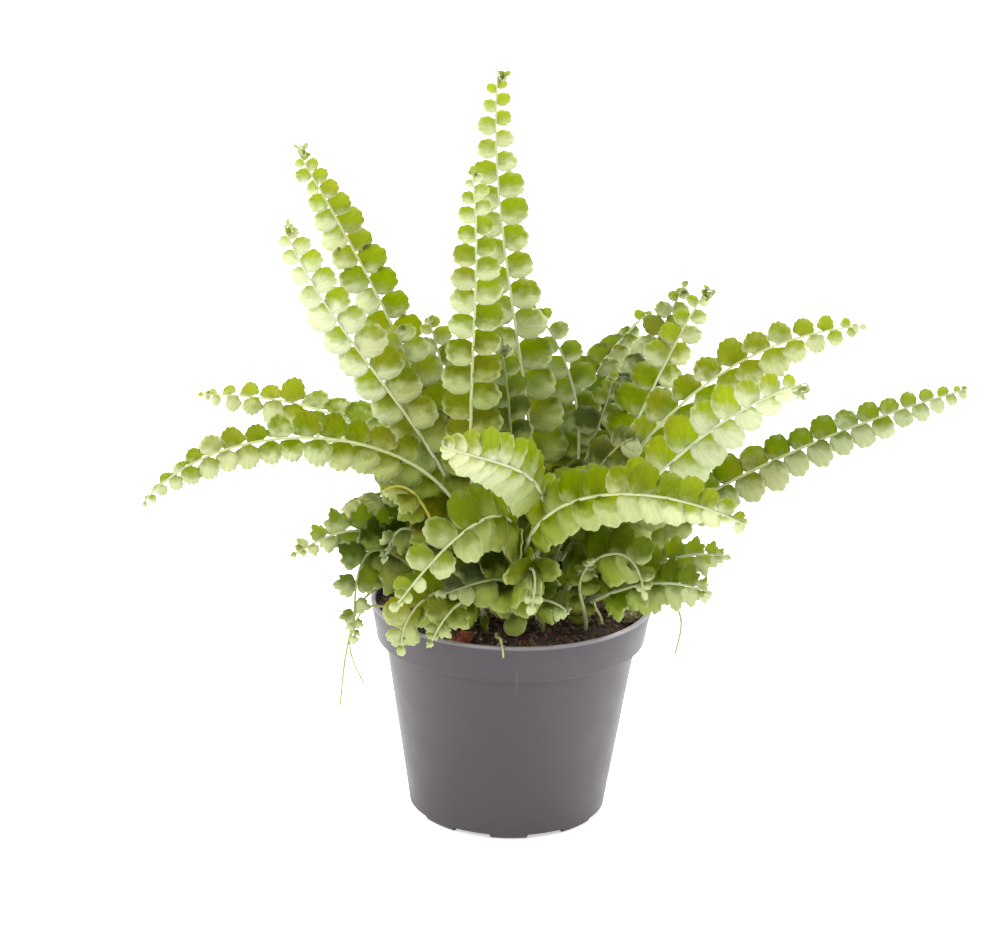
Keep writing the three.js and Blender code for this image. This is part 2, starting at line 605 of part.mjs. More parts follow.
function frondLeaflets(frond, order, taken, stalks) {
  const length = ribPieces(frond).reduce((sum, [from, to]) => sum + from.distanceTo(to), 0);
  const pairs = [];
  for (let i = 0; i < frond.pairs; i += 1) {
    const t = pairPosition(frond, i);
    const pitch = (pairPosition(frond, i + 1) - t) * length;
    const place = station(frond, t);
    const pair = [];
    for (const handed of [-1, 1]) {
      const key = 2 * i + (handed + 1) / 2;
      const size = leafletSize(pitch, order, key);
      const angles = leafletAngles(i / frond.pairs, order, key);
      const leaflet = fittedLeaflet(place, handed, size, angles, taken, stalks);
      if (leaflet) {
        taken.push(leaflet);
        pair.push(leaflet);
      }
    }
    pairs.push({ t, pitch: pitch / length, pair });
  }
  return pairs;
}

// Half of the stretch of rib that a pair grows from: a share of the space between two pairs,
// and at most a share of the rib.
const ROOT_SHARE = 0.15;
const ROOT_LIMIT = 0.004;

// Stations of the rib: a straight stalk in the soil, two round every pair of leaflets,
// and a small coil at a curled tip.
function ribStations(frond, pairs) {
  const upright = crossDirections(frond, new THREE.Vector3(0, 0, 1));
  const first = { ...station(frond, 0), ...upright };
  const foot = { ...first, centre: first.centre.clone().setZ(STALK_TOP - STALK_DEPTH) };
  const stations = [foot, first];
  stations.push(station(frond, frond.bare / 3), station(frond, (2 * frond.bare) / 3));
  for (const { t, pitch, pair } of pairs) {
    const half = Math.min(ROOT_SHARE * pitch, ROOT_LIMIT);
    stations.push({ ...station(frond, t - half), pair });
    stations.push(station(frond, t + half));
  }
  const tip = station(frond, 1);
  stations.push(tip);
  if (frond.curled) {
    for (let i = 1; i <= COIL_STEPS; i += 1) {
      stations.push(coilStation(tip, i));
    }
  }
  return stations;
}

function coilStation(tip, i) {
  const turn = radians(COIL_TURN * i);
  const radius = COIL_RADIUS - COIL_TIGHTENING * i;
  const centre = tip.centre.clone();
  centre.addScaledVector(tip.along, radius * Math.sin(turn));
  centre.addScaledVector(tip.face, COIL_RADIUS - radius * Math.cos(turn));
  const along = tip.along.clone().multiplyScalar(Math.cos(turn));
  along.addScaledVector(tip.face, Math.sin(turn));
  return { ...tip, centre, along, face: tip.side.clone().cross(along) };
}

// One closed body: a three-sided rib, whose two lower faces open into the leaflets that grow there.
function frondGeometry(stations) {
  const points = [];
  const triangles = [];
  const addPoint = (point) => {
    points.push(point.x, point.y, point.z);
    return points.length / 3 - 1;
  };
  const addFace = (flip, ...corners) => {
    const loop = flip ? corners.reverse() : corners;
    for (let i = 1; i < loop.length - 1; i += 1) {
      triangles.push(loop[0], loop[i], loop[i + 1]);
    }
  };
  const edge = (place, across) =>
    addPoint(place.centre.clone().addScaledVector(place.side, across * place.halfWidth));
  const keel = (place) =>
    addPoint(place.centre.clone().addScaledVector(place.face, -KEEL_SHARE * place.halfWidth));
  const rings = stations.map((place) => ({ "-1": edge(place, -1), 1: edge(place, 1), keel: keel(place) }));

  // Both faces of a leaflet are fans from where it joins the rib.
  const addLeaflet = (leaflet, ring, next) => {
    const { handed, normal, outline } = leaflet;
    const level = (height) => outline.map((p) => addPoint(p.clone().addScaledVector(normal, height)));
    const top = [ring[handed], ...level(BLADE_THICKNESS / 2), next[handed]];
    const low = [ring.keel, ...level(-BLADE_THICKNESS / 2), next.keel];
    for (let i = 0; i < top.length - 1; i += 1) {
      if (i > 0) {
        addFace(handed < 0, top[0], top[i], top[i + 1]);
        addFace(handed > 0, low[0], low[i], low[i + 1]);
      }
      addFace(handed < 0, low[i], low[i + 1], top[i + 1]);
      addFace(handed < 0, low[i], top[i + 1], top[i]);
    }
  };

  const end = rings[rings.length - 1];
  addFace(false, rings[0].keel, rings[0][1], rings[0]["-1"]);
  addFace(true, end.keel, end[1], end["-1"]);
  rings.slice(1).forEach((next, i) => {
    const ring = rings[i];
    addFace(false, ring["-1"], ring[1], next[1], next["-1"]);
    for (const handed of [-1, 1]) {
      const leaflet = (stations[i].pair ?? []).find((item) => item.handed === handed);
      if (leaflet) {
        addLeaflet(leaflet, ring, next);
      } else {
        addFace(handed < 0, ring.keel, next.keel, next[handed], ring[handed]);
      }
    }
  });
  return geometryFrom(points, triangles);
}

function fronds() {
  const taken = [];
  const ribs = FRONDS.map(ribPieces);
  const trailing = RUNNERS.map((spec) => straightPieces(runnerCurve(spec).getPoints(RUNNER_PIECES)));
  return FRONDS.map((frond, order) => {
    const stalks = [...ribs, ...trailing].map((pieces, i) => ({ pieces, own: i === order }));
    const pairs = frondLeaflets(frond, order, taken, stalks);
    const geometry = frondGeometry(ribStations(frond, pairs));
    return named(`frond_${frond.name}`, geometry, TONES[frond.tone], 0.6);
  });
}

// ---- The whole plant ----

const fern = new THREE.Group();
fern.name = "potted_fern";
fern.add(pot(), soil());
fern.add(...RUNNERS.map(runner));
fern.add(...fronds());

export default fern;
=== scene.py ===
"""A potted fern with round scalloped leaflets, in a moulded nursery pot. Metres, +Z up, front towards -Y."""

import math
from typing import NamedTuple

import bmesh
import bpy
import numpy as np
from bpy.props import FloatProperty, FloatVectorProperty, IntProperty, PointerProperty
from mathutils import Matrix, Vector, noise


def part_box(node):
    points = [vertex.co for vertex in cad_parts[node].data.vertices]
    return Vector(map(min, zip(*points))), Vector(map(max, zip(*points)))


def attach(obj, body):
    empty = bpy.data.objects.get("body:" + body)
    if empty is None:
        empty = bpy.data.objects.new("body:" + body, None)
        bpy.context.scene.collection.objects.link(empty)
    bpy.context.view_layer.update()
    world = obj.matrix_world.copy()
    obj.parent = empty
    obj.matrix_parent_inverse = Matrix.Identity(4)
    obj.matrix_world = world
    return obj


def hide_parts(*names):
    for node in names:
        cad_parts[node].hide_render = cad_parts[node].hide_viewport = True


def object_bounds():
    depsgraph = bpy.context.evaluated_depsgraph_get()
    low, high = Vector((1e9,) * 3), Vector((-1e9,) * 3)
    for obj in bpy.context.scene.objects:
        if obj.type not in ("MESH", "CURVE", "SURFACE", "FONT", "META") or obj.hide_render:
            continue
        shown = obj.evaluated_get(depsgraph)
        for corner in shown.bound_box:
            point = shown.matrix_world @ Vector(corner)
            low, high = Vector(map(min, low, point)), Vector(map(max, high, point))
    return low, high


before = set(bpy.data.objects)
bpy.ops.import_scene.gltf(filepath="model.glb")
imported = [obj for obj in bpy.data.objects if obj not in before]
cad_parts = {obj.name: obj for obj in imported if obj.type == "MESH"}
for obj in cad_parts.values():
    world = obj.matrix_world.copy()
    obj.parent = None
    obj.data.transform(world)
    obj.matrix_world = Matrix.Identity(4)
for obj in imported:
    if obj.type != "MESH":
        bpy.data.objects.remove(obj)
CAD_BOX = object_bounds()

bl_info = {
    "name": "Potted fern",
    "version": (1, 0, 0),
    "blender": (4, 5, 0),
    "location": "View3D > Sidebar > Fern",
    "description": "Dresses the solids of a potted fern with leaflets, stalks, soil, moss and a moulded pot",
    "category": "Add Mesh",
}

MM = 0.001
BOX_LOW, BOX_HIGH = [np.array(corner) for corner in CAD_BOX]
_, POT_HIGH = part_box("pot")
RIM_RADIUS = POT_HIGH.x
POT_HEIGHT = POT_HIGH.z
SOIL_EDGE = POT_HEIGHT - 4 * MM
POT_WALL = 1.6
WALL = POT_WALL * MM

# ---- The plant, measured in millimetres, as it stands in the pot ----

ACROSS = (1, 0, 0)
LEFTWARD = (0.3, 0.6, 0.75)
RIGHTWARD = (0.3, -0.6, -0.75)
FORWARD = (-1, 0, 0)
FORWARD_LEFT = (-0.3, 0.3, 0.9)
FORWARD_RIGHT = (0, -0.3, -0.95)
UPWARD = (0.35, 0.3, 0.9)
DOWNWARD = (0.4, -0.1, -0.9)
REAR_LEFT = (0.75, 0.66, 0)
REAR_RIGHT = (0.75, -0.66, 0)


class Frond(NamedTuple):
    """A frond: its name, four points of its rib, its pairs of leaflets, the share of the rib left bare,
    the direction across its blade, its tone, and whether it ends in a coil."""

    name: str
    rib: tuple
    pairs: int
    bare: float
    across: tuple
    tone: str
    curled: bool


FRONDS = [Frond(*row) for row in (
    ("tall_back", ((8, 8, 94), (6, 22, 162), (-6, 38, 234), (-11, 55, 307)),
     15, 0.28, ACROSS, "fresh", True),
    ("tall_front", ((-6, -6, 94), (-18, -16, 155), (-18, -24, 221), (-20, -22, 282)),
     14, 0.3, ACROSS, "fresh", False),
    ("left_tall", ((-10, 8, 94), (-35, 20, 166), (-65, 34, 226), (-94, 45, 274)),
     14, 0.32, ACROSS, "fresh", True),
    ("left_second", ((-15, -4, 94), (-30, -12, 153), (-64, -22, 206), (-94, -34, 260)),
     12, 0.32, ACROSS, "pale", True),
    ("left_high_arch", ((-16, 14, 94), (-45, 40, 137), (-85, 62, 156), (-139, 80, 157)),
     11, 0.3, LEFTWARD, "fresh", False),
    ("left_long_arch", ((-18, -8, 94), (-36, -22, 155), (-94, -48, 177), (-148, -64, 154)),
     16, 0.26, LEFTWARD, "fresh", False),
    ("right_upper", ((10, 2, 94), (36, 14, 135), (57, 26, 178), (79, 40, 219)),
     10, 0.3, ACROSS, "fresh", True),
    ("right_upper_back", ((14, 14, 94), (34, 38, 142), (54, 66, 176), (73, 90, 209)),
     9, 0.35, ACROSS, "deep", False),
    ("right_far_back", ((6, 22, 94), (17, 45, 146), (38, 80, 176), (58, 105, 192)),
     9, 0.38, ACROSS, "middle", False),
    ("right_long_arch", ((17, -2, 94), (45, -10, 155), (84, -20, 201), (137, -32, 225)),
     12, 0.28, RIGHTWARD, "fresh", False),
    ("right_middle", ((18, -12, 94), (42, -32, 140), (73, -55, 183), (111, -76, 213)),
     10, 0.3, DOWNWARD, "pale", True),
    ("right_long_low", ((22, 6, 94), (73, 18, 130), (132, 28, 159), (193, 34, 181)),
     16, 0.22, RIGHTWARD, "middle", False),
    ("front_right_arch", ((8, -18, 94), (12, -55, 148), (47, -88, 170), (89, -105, 164)),
     10, 0.4, FORWARD_RIGHT, "fresh", False),
    ("front_arch", ((2, -12, 94), (12, -45, 150), (-2, -85, 179), (-27, -115, 196)),
     8, 0.45, UPWARD, "pale", False),
    ("front_left_low", ((-4, -20, 94), (1, -32, 133), (-13, -62, 149), (-45, -98, 126)),
     7, 0.35, FORWARD_LEFT, "fresh", False),
    ("rim_front_left", ((-22, -22, 94), (-28, -45, 112), (-39, -62, 111), (-44, -74, 99)),
     4, 0.35, FORWARD_LEFT, "fresh", False),
    ("rim_front_middle", ((-12, -26, 94), (-15, -48, 110), (-23, -60, 111), (-32, -70, 100)),
     4, 0.4, FORWARD_LEFT, "fresh", False),
    ("left_low", ((-24, -6, 94), (-42, -20, 120), (-62, -34, 134), (-88, -50, 129)),
     6, 0.4, LEFTWARD, "middle", False),
    ("left_hanging", ((-22, -14, 94), (-45, -28, 119), (-60, -42, 126), (-64, -56, 96)),
     5, 0.4, FORWARD_LEFT, "deep", False),
    ("left_inner", ((-25, 2, 94), (-34, -10, 106), (-49, -16, 115), (-58, -22, 109)),
     4, 0.35, FORWARD_LEFT, "deep", False),
    ("right_low_upper", ((24, -10, 94), (43, -30, 111), (62, -44, 127), (85, -58, 135)),
     6, 0.35, RIGHTWARD, "middle", False),
    ("right_low", ((26, -17, 94), (45, -40, 113), (62, -56, 122), (80, -66, 122)),
     5, 0.4, RIGHTWARD, "middle", False),
    ("front_rosette", ((31, -28, 94), (29, -30, 104), (28, -33, 113), (32, -41, 125)),
     4, 0.3, ACROSS, "fresh", False),
    ("front_low", ((5, -27, 94), (0, -40, 114), (-11, -50, 119), (-27, -58, 116)),
     4, 0.25, LEFTWARD, "deep", False),
    ("front_small", ((13, -32, 94), (9, -44, 108), (15, -50, 111), (22, -56, 109)),
     3, 0.3, RIGHTWARD, "middle", False),
    ("middle_curled", ((2, 2, 94), (0, 2, 127), (-2, 0, 166), (-7, -6, 206)),
     8, 0.35, ACROSS, "deep", True),
    ("middle_right", ((15, 8, 94), (25, 20, 129), (26, 30, 170), (7, 40, 210)),
     8, 0.35, ACROSS, "middle", False),
    ("left_curled", ((-7, 3, 94), (-22, 5, 132), (-38, -2, 177), (-50, -12, 214)),
     6, 0.4, ACROSS, "middle", False),
    ("left_small", ((-4, 12, 94), (-17, 14, 132), (-28, 18, 175), (-38, 22, 210)),
     7, 0.4, ACROSS, "middle", False),
    ("yellowed", ((-16, -16, 94), (-30, -22, 126), (-41, -28, 148), (-54, -34, 151)),
     5, 0.45, LEFTWARD, "yellow", False),
    ("middle_left", ((-12, 0, 94), (-31, -4, 120), (-45, -8, 148), (-59, -12, 155)),
     5, 0.35, LEFTWARD, "deep", False),
    ("middle_low", ((13, -6, 94), (22, -8, 127), (35, -12, 156), (48, -18, 171)),
     4, 0.35, RIGHTWARD, "deep", False),
    ("right_inner", ((10, 13, 94), (20, 16, 124), (32, 24, 153), (41, 32, 182)),
     5, 0.35, ACROSS, "deep", False),
    ("front_drooping", ((-2, -35, 94), (3, -47, 119), (8, -58, 127), (8, -67, 115)),
     4, 0.3, FORWARD, "middle", False),
    ("right_drooping", ((18, -24, 94), (30, -34, 120), (44, -48, 131), (53, -61, 120)),
     5, 0.3, FORWARD_RIGHT, "middle", False),
    ("left_drooping", ((-29, -14, 94), (-35, -19, 118), (-44, -28, 133), (-52, -42, 126)),
     4, 0.3, UPWARD, "middle", False),
    ("inner_right", ((21, 2, 94), (28, 3, 117), (40, 0, 129), (53, -10, 134)),
     4, 0.25, RIGHTWARD, "deep", False),
    ("inner_upper", ((9, -8, 94), (12, -10, 123), (18, -15, 142), (30, -22, 158)),
     4, 0.25, ACROSS, "deep", False),
    ("inner_left", ((-20, 3, 94), (-26, 4, 120), (-37, 6, 135), (-52, 4, 137)),
     5, 0.25, LEFTWARD, "deep", False),
    ("inner_middle", ((-2, -1, 94), (-4, -6, 122), (-8, -11, 136), (-15, -17, 148)),
     4, 0.25, ACROSS, "deep", False),
    ("rear_middle", ((2, 16, 94), (4, 60, 150), (0, 105, 170), (-4, 140, 150)),
     6, 0.4, ACROSS, "middle", False),
    ("rear_left", ((-8, 18, 94), (-34, 60, 140), (-62, 95, 150), (-88, 118, 125)),
     7, 0.4, REAR_LEFT, "middle", False),
    ("rear_right", ((16, 20, 94), (40, 58, 140), (68, 90, 148), (96, 112, 125)),
     7, 0.4, REAR_RIGHT, "middle", False),
    ("rear_low_left", ((-24, 12, 94), (-44, 30, 118), (-62, 48, 120), (-74, 60, 108)),
     4, 0.4, REAR_LEFT, "deep", False),
    ("rear_low_right", ((26, 14, 94), (46, 32, 118), (64, 50, 120), (76, 64, 112)),
     4, 0.4, REAR_RIGHT, "deep", False),
    ("rear_drooping", ((0, 31, 94), (-4, 44, 118), (-10, 57, 126), (-16, 69, 116)),
     4, 0.3, ACROSS, "middle", False),
    ("rear_drooping_right", ((18, 28, 94), (26, 40, 116), (38, 52, 124), (50, 62, 116)),
     4, 0.3, REAR_RIGHT, "middle", False),
    ("rear_drooping_left", ((-20, 26, 94), (-30, 38, 118), (-42, 48, 126), (-54, 58, 118)),
     4, 0.3, REAR_LEFT, "middle", False),
)]

# The runners, roots and the old stalk: radius and the points that each passes through.
RUNNERS = {
    "runner_left": (0.7, ((-46, 9, 94), (-52, 3, 97), (-60, -6, 96.5), (-66, -10, 88),
        (-70, -12, 69), (-72, -14, 48))),
    "root_left": (0.6, ((-46, -22, 93.5), (-54, -26, 98), (-62, -29, 97), (-67, -31, 84),
        (-65, -32, 74), (-61, -33, 66))),
    "runner_right": (0.7, ((50, 6, 93.5), (58, 2, 98.5), (66, -6, 99), (71, -9, 92),
        (72, -10, 85), (70, -11, 74))),
    "root_front": (0.6, ((-6, -43, 93.5), (-6, -50, 94.5), (-4.5, -57, 96.5), (-3.5, -62.2, 94.5),
        (-3, -62.6, 90.5))),
    "root_front_right": (0.6, ((38, -29, 93.5), (37, -29.5, 97), (35, -30, 101), (34, -30, 104))),
    "old_stalk": (1.1, ((7, -14, 94), (8, -15, 103), (11, -16, 111), (16, -21, 111.5), (20, -26, 109))),
}

# Fronds whose leaflets are cut into lobes, and those whose leaflets are wedges.
LOBED = ("left_low", "left_hanging", "right_low_upper", "right_low", "front_small", "rim_front_middle",
         "rear_low_left", "rear_low_right", "rear_drooping_left", "left_drooping", "yellowed")
WEDGED = ("left_high_arch", "right_long_arch", "left_long_arch", "rear_middle", "rear_left", "rear_right")

RIB_PIECES = 90
PLACE_STEP = 0.002
STALK_DEPTH = 6
STALK_HALF_WIDTH = 1.05
TIP_HALF_WIDTH = 0.6
LEAFLET_REACH = 0.54
NEAR_LEAFLET = 0.7
LEAFLET_CLEARANCE = 1.05
STALK_CLEARANCE = 1.9
OWN_RIB_CLEARANCE = 0.9
POT_CLEARANCE = 1.5
SOIL_HEAP = 2.2
FOLD_TRIES = (0, 12, -12, -24, 24, -38, -52, -64)
SIZE_TRIES = (1, 0.8)
# The outline of leaflets below each width: the angle and radius of its points.
OUTLINES = (
    (7.5, ((-80, 0.52), (0, 0.5), (80, 0.52))),
    (12, ((-105, 0.54), (-36, 0.58), (36, 0.58), (105, 0.54))),
    (math.inf, ((-108, 0.55), (-40, 0.58), (0, 0.47), (40, 0.58), (108, 0.55))),
)
CROWDING = 1.3
LEAST_LEAN, LEAN_GAIN = 4, 16
# The two leaflets of a pair stand this share of the space between pairs before and behind their
# solids, because a living fern's leaflets alternate.
STAGGER = 0.22
LOWEST_LEAFLET = 0.09
LOW_SPACING = 1.1
WIDEST_LOW = 11
# The leaflets past the last pair of the solids: where each grows between that pair and the end of
# the rib, its side, its width as a share of that space, and its lean towards the tip in degrees.
TIP_LEAFLETS = ((0.5, -1, 0.62, 26), (0.58, 1, 0.6, 26), (0.82, -1, 0.46, 40), (0.99, 1, 0.62, 78))
LEAST_WIDTH = 2.2
# What is added to a leaflet's number to draw each of its features.
FOLD, TWIST, VARIANT, GLOW, SIZE, TILT = 100, 200, 300, 400, 500, 600


class Family(NamedTuple):
    """Leaflets that are alike: their first number, how much longer than wide they are, how clear of
    one another they stay, and the middle and spread of their width, fold and twist."""

    first: int
    longer: float
    gap: float
    width: tuple
    fold: tuple
    twist: tuple


GROWN = Family(0, 0.9, LEAFLET_CLEARANCE, (0.94, 0.03), (-8, 10), (9, 9))
LOW = Family(1000, 0.9, LEAFLET_CLEARANCE, (0.85, 0.1), (-6, 16), (9, 12))
TIP = Family(2000, 0.4, 0.3, (1, 0), (-6, 12), (0, 10))


# ---- Settings that a user would change ----

def plain_setting(name, description, default):
    return FloatProperty(name=name, description=description, default=default)


def length_setting(name, description, millimetres):
    return FloatProperty(name=name, description=description, default=millimetres * MM, unit="LENGTH")


def angle_setting(name, description, degrees):
    return FloatProperty(name=name, description=description, default=math.radians(degrees), subtype="ANGLE")


def count_setting(name, description, default):
    return IntProperty(name=name, description=description, default=default)


class FernLeafSettings(bpy.types.PropertyGroup):
    length: plain_setting("Leaflet length", "Length of a leaflet against the length of its solid", 1.05)
    width: plain_setting("Leaflet width", "Width of a leaflet against the width of its solid", 1.2)
    thickness: plain_setting("Leaflet thickness", "Thickness of a leaflet as a share of its length", 0.035)
    stalk_radius: length_setting("Stalk radius", "Radius of a stalk at the soil", 0.9)
    tip_radius: length_setting("Tip radius", "Radius of a rib at its tip", 0.42)
    hair_length: length_setting("Hair length", "Length of the hairs on stalks and runners", 1.3)


class FernPotSettings(bpy.types.PropertyGroup):
    steps: count_setting("Steps", "Flat faces round the pot", 224)
    lip: length_setting("Lip", "Thickness of the rounded lip", 2.2)
    colour: FloatVectorProperty(
        name="Plastic", description="Colour of the moulded plastic", subtype="COLOR", size=3,
        default=(0.044, 0.036, 0.043))


class FernSoilSettings(bpy.types.PropertyGroup):
    relief: length_setting("Relief", "Height of the soil's crumbs", 1.6)
    bits: count_setting("Bits", "How many loose crumbs lie on the soil", 1300)
    fibres: count_setting("Fibres", "How many fibres lie on the soil", 150)


class FernStageSettings(bpy.types.PropertyGroup):
    elevation: angle_setting("Elevation", "Angle of the view above the table", 17.7)
    roll: angle_setting("Roll", "Turn of the view about its own axis", 1.335)
    distance: length_setting("Distance", "From the camera to the plant", 1250)


# ---- Small helpers ----

def linear(code):
    """An sRGB hex colour as linear red, green, blue and alpha."""
    parts = [int(code[i:i + 2], 16) / 255 for i in (1, 3, 5)]
    return [part / 12.92 if part <= 0.04045 else ((part + 0.055) / 1.055) ** 2.4 for part in parts] + [1]


def draw(first, second):
    """A number from -1 to 1 that is always the same for the same two whole numbers."""
    value = math.sin(first * 127.1 + second * 311.7) * 43758.5453
    return 2 * (value - math.floor(value)) - 1


def drawn_share(first, second):
    """A drawn number from 0 to 1."""
    return (draw(first, second) + 1) / 2


def drawn(middle_and_spread, first, second):
    """A drawn number about a middle, at most a spread away from it."""
    middle, spread = middle_and_spread
    return middle + spread * draw(first, second)


def mix(low, high, share):
    return low + (high - low) * share


def deselect():
    bpy.ops.object.select_all(action="DESELECT")


def make_active(piece):
    deselect()
    piece.select_set(True)
    bpy.context.view_layer.objects.active = piece


def named(piece, name):
    piece.name = name
    piece.data.name = name
    return piece


def joined(pieces, name):
    """One piece from several, each of which has its own mesh."""
    deselect()
    for piece in pieces:
        piece.select_set(True)
    bpy.context.view_layer.objects.active = pieces[0]
    bpy.ops.object.join()
    return named(bpy.context.view_layer.objects.active, name)


def placed_copy(model, matrix, **values):
    """A copy of a model with its own mesh, put in its place, with a number for each named attribute."""
    mesh = model.data.copy()
    mesh.transform(matrix)
    if matrix.determinant() < 0:
        mesh.flip_normals()
    for name, value in values.items():
        mesh.attributes[name].data.foreach_set("value", [value] * len(mesh.vertices))
    piece = bpy.data.objects.new(model.name, mesh)
    bpy.context.scene.collection.objects.link(piece)
    return piece


def vertex_places(piece):
    spots = np.empty(3 * len(piece.data.vertices))
    piece.data.vertices.foreach_get("co", spots)
    return spots.reshape(-1, 3)


def keep_inside(piece):
    """Moves a small part back into the box of the solids, where it passes it."""
    spots = vertex_places(piece)
    shift = np.maximum(0, BOX_LOW - spots.min(0)) - np.maximum(0, spots.max(0) - BOX_HIGH)
    if shift.any():
        piece.data.transform(Matrix.Translation(shift))


def basis(first, second, third, place):
    """The matrix that turns the X, Y and Z axes into three vectors, and moves the origin to a place."""
    matrix = Matrix.Identity(4)
    for column, vector in enumerate((first, second, third, place)):
        for row in range(3):
            matrix[row][column] = float(vector[row])
    return matrix


def across(vector, along):
    """The direction at right angles to a line that is nearest to a vector."""
    return (vector - along * vector.dot(along)).normalized()


def apply_modifier(piece, kind, **settings):
    make_active(piece)
    modifier = piece.modifiers.new(kind.title(), kind)
    for name, value in settings.items():
        setattr(modifier, name, value)
    bpy.ops.object.modifier_apply(modifier=modifier.name)


def merge_doubles(piece, distance=1e-6):
    make_active(piece)
    bpy.ops.object.mode_set(mode="EDIT")
    bpy.ops.mesh.select_all(action="SELECT")
    bpy.ops.mesh.remove_doubles(threshold=distance)
    bpy.ops.mesh.normals_make_consistent(inside=False)
    bpy.ops.object.mode_set(mode="OBJECT")


def smooth(piece, degrees):
    make_active(piece)
    bpy.ops.object.shade_smooth_by_angle(angle=math.radians(degrees))


def remove(pieces):
    for piece in pieces:
        bpy.data.meshes.remove(piece.data)


def tube(name, points, radii):
    """A closed round tube of changing radius along a line of points."""
    curve = bpy.data.curves.new(name, "CURVE")
    curve.dimensions = "3D"
    curve.bevel_depth = 1
    curve.bevel_resolution = 2
    curve.use_fill_caps = True
    spline = curve.splines.new("POLY")
    spline.points.add(len(points) - 1)
    for knot, point, radius in zip(spline.points, points, radii):
        knot.co = (*point, 1)
        knot.radius = radius
    piece = bpy.data.objects.new(name, curve)
    bpy.context.scene.collection.objects.link(piece)
    make_active(piece)
    bpy.ops.object.convert(target="MESH")
    piece = bpy.context.view_layer.objects.active
    merge_doubles(piece, 1e-7)
    return piece


def spun(name, profile, steps):
    """A body turned about the Z axis from a profile of (radius, height) points, from axis to axis."""
    deselect()
    bpy.ops.mesh.primitive_plane_add(size=1)
    piece = named(bpy.context.object, name)
    bpy.ops.object.mode_set(mode="EDIT")
    bpy.ops.mesh.select_all(action="SELECT")
    bpy.ops.mesh.delete(type="VERT")
    shape = bmesh.from_edit_mesh(piece.data)
    knots = [shape.verts.new((radius, 0, height)) for radius, height in profile]
    for start, end in zip(knots, knots[1:]):
        shape.edges.new((start, end))
    bmesh.update_edit_mesh(piece.data)
    bpy.ops.mesh.select_all(action="SELECT")
    bpy.ops.mesh.spin(steps=steps, angle=2 * math.pi, center=(0, 0, 0), axis=(0, 0, 1))
    bpy.ops.object.mode_set(mode="OBJECT")
    merge_doubles(piece)
    return piece


def use_slot(piece, index, slots):
    """Gives all of a piece the material in one of a number of slots, which stay empty until it is joined."""
    piece.data.materials.clear()
    for _ in range(slots):
        piece.data.materials.append(None)
    for polygon in piece.data.polygons:
        polygon.material_index = index


def finish_piece(piece, materials, replaces=()):
    """Gives a piece its materials and its slot, and makes it ride with the pot."""
    piece.data.materials.clear()
    for material in materials:
        piece.data.materials.append(material)
    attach(piece, "root")
    if replaces:
        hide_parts(*replaces)


# ---- Materials ----

FACTOR, MIX_A, MIX_B, MIXED = 0, 6, 7, 2


def add(tree, kind, inputs=None, **settings):
    """Adds a node with its settings, and for each named input a value or a link."""
    node = tree.nodes.new(kind)
    for name, value in settings.items():
        setattr(node, name, value)
    for name, value in (inputs or {}).items():
        if isinstance(value, bpy.types.NodeSocket):
            tree.links.new(value, node.inputs[name])
        else:
            node.inputs[name].default_value = value
    return node


def new_material(name):
    material = bpy.data.materials.new(name)
    material.use_nodes = True
    material.node_tree.nodes.clear()
    return material, material.node_tree


def finished(material, shader):
    """The material, with a shader as its surface."""
    add(material.node_tree, "ShaderNodeOutputMaterial", {0: shader})
    return material


def principled(tree, colour, roughness, **inputs):
    """An opaque surface. Further inputs have their names with _ for each space."""
    values = {name.replace("_", " "): value for name, value in inputs.items()}
    return add(tree, "ShaderNodeBsdfPrincipled", {
        "Base Color": colour, "Roughness": roughness, **values}).outputs[0]


def bumped(tree, relief, strength, depth):
    """The normals of a surface whose relief has a depth in metres."""
    return add(tree, "ShaderNodeBump", {"Strength": strength, "Distance": depth, "Height": relief}).outputs[0]


def blended(tree, factor, low, high):
    """A colour between two, each a hex code or a socket."""
    ends = [linear(end) if isinstance(end, str) else end for end in (low, high)]
    node = add(tree, "ShaderNodeMix", {FACTOR: factor, MIX_A: ends[0], MIX_B: ends[1]}, data_type="RGBA")
    return node.outputs[MIXED]


def maths(tree, operation, first, second=0.0):
    return add(tree, "ShaderNodeMath", {0: first, 1: second}, operation=operation).outputs[0]


def times(tree, first, second):
    return maths(tree, "MULTIPLY", first, second)


def plus(tree, first, second):
    return maths(tree, "ADD", first, second)


def minus(tree, first, second):
    return maths(tree, "SUBTRACT", first, second)


def apart(tree, first, second):
    """How far two values are apart."""
    return maths(tree, "ABSOLUTE", minus(tree, first, second))


def ramped(tree, value, low, high, start=0.0, end=1.0):
    """A value from start to end as another goes from low to high."""
    inputs = {"Value": value, "From Min": low, "From Max": high, "To Min": start, "To Max": end}
    return add(tree, "ShaderNodeMapRange", inputs).outputs[0]


def object_place(tree):
    return add(tree, "ShaderNodeTexCoord").outputs["Object"]


def split(tree, place):
    return add(tree, "ShaderNodeSeparateXYZ", {0: place}).outputs


def grain(tree, size, detail=2.0, roughness=0.5, place=None):
    """Noise whose blotches are about a size in metres across."""
    place = place or object_place(tree)
    inputs = {"Vector": place, "Scale": 1 / size, "Detail": detail, "Roughness": roughness}
    return add(tree, "ShaderNodeTexNoise", inputs).outputs["Fac"]


def attribute(tree, name):
    return add(tree, "ShaderNodeAttribute", attribute_name=name, attribute_type="GEOMETRY").outputs["Fac"]


TEETH = 7
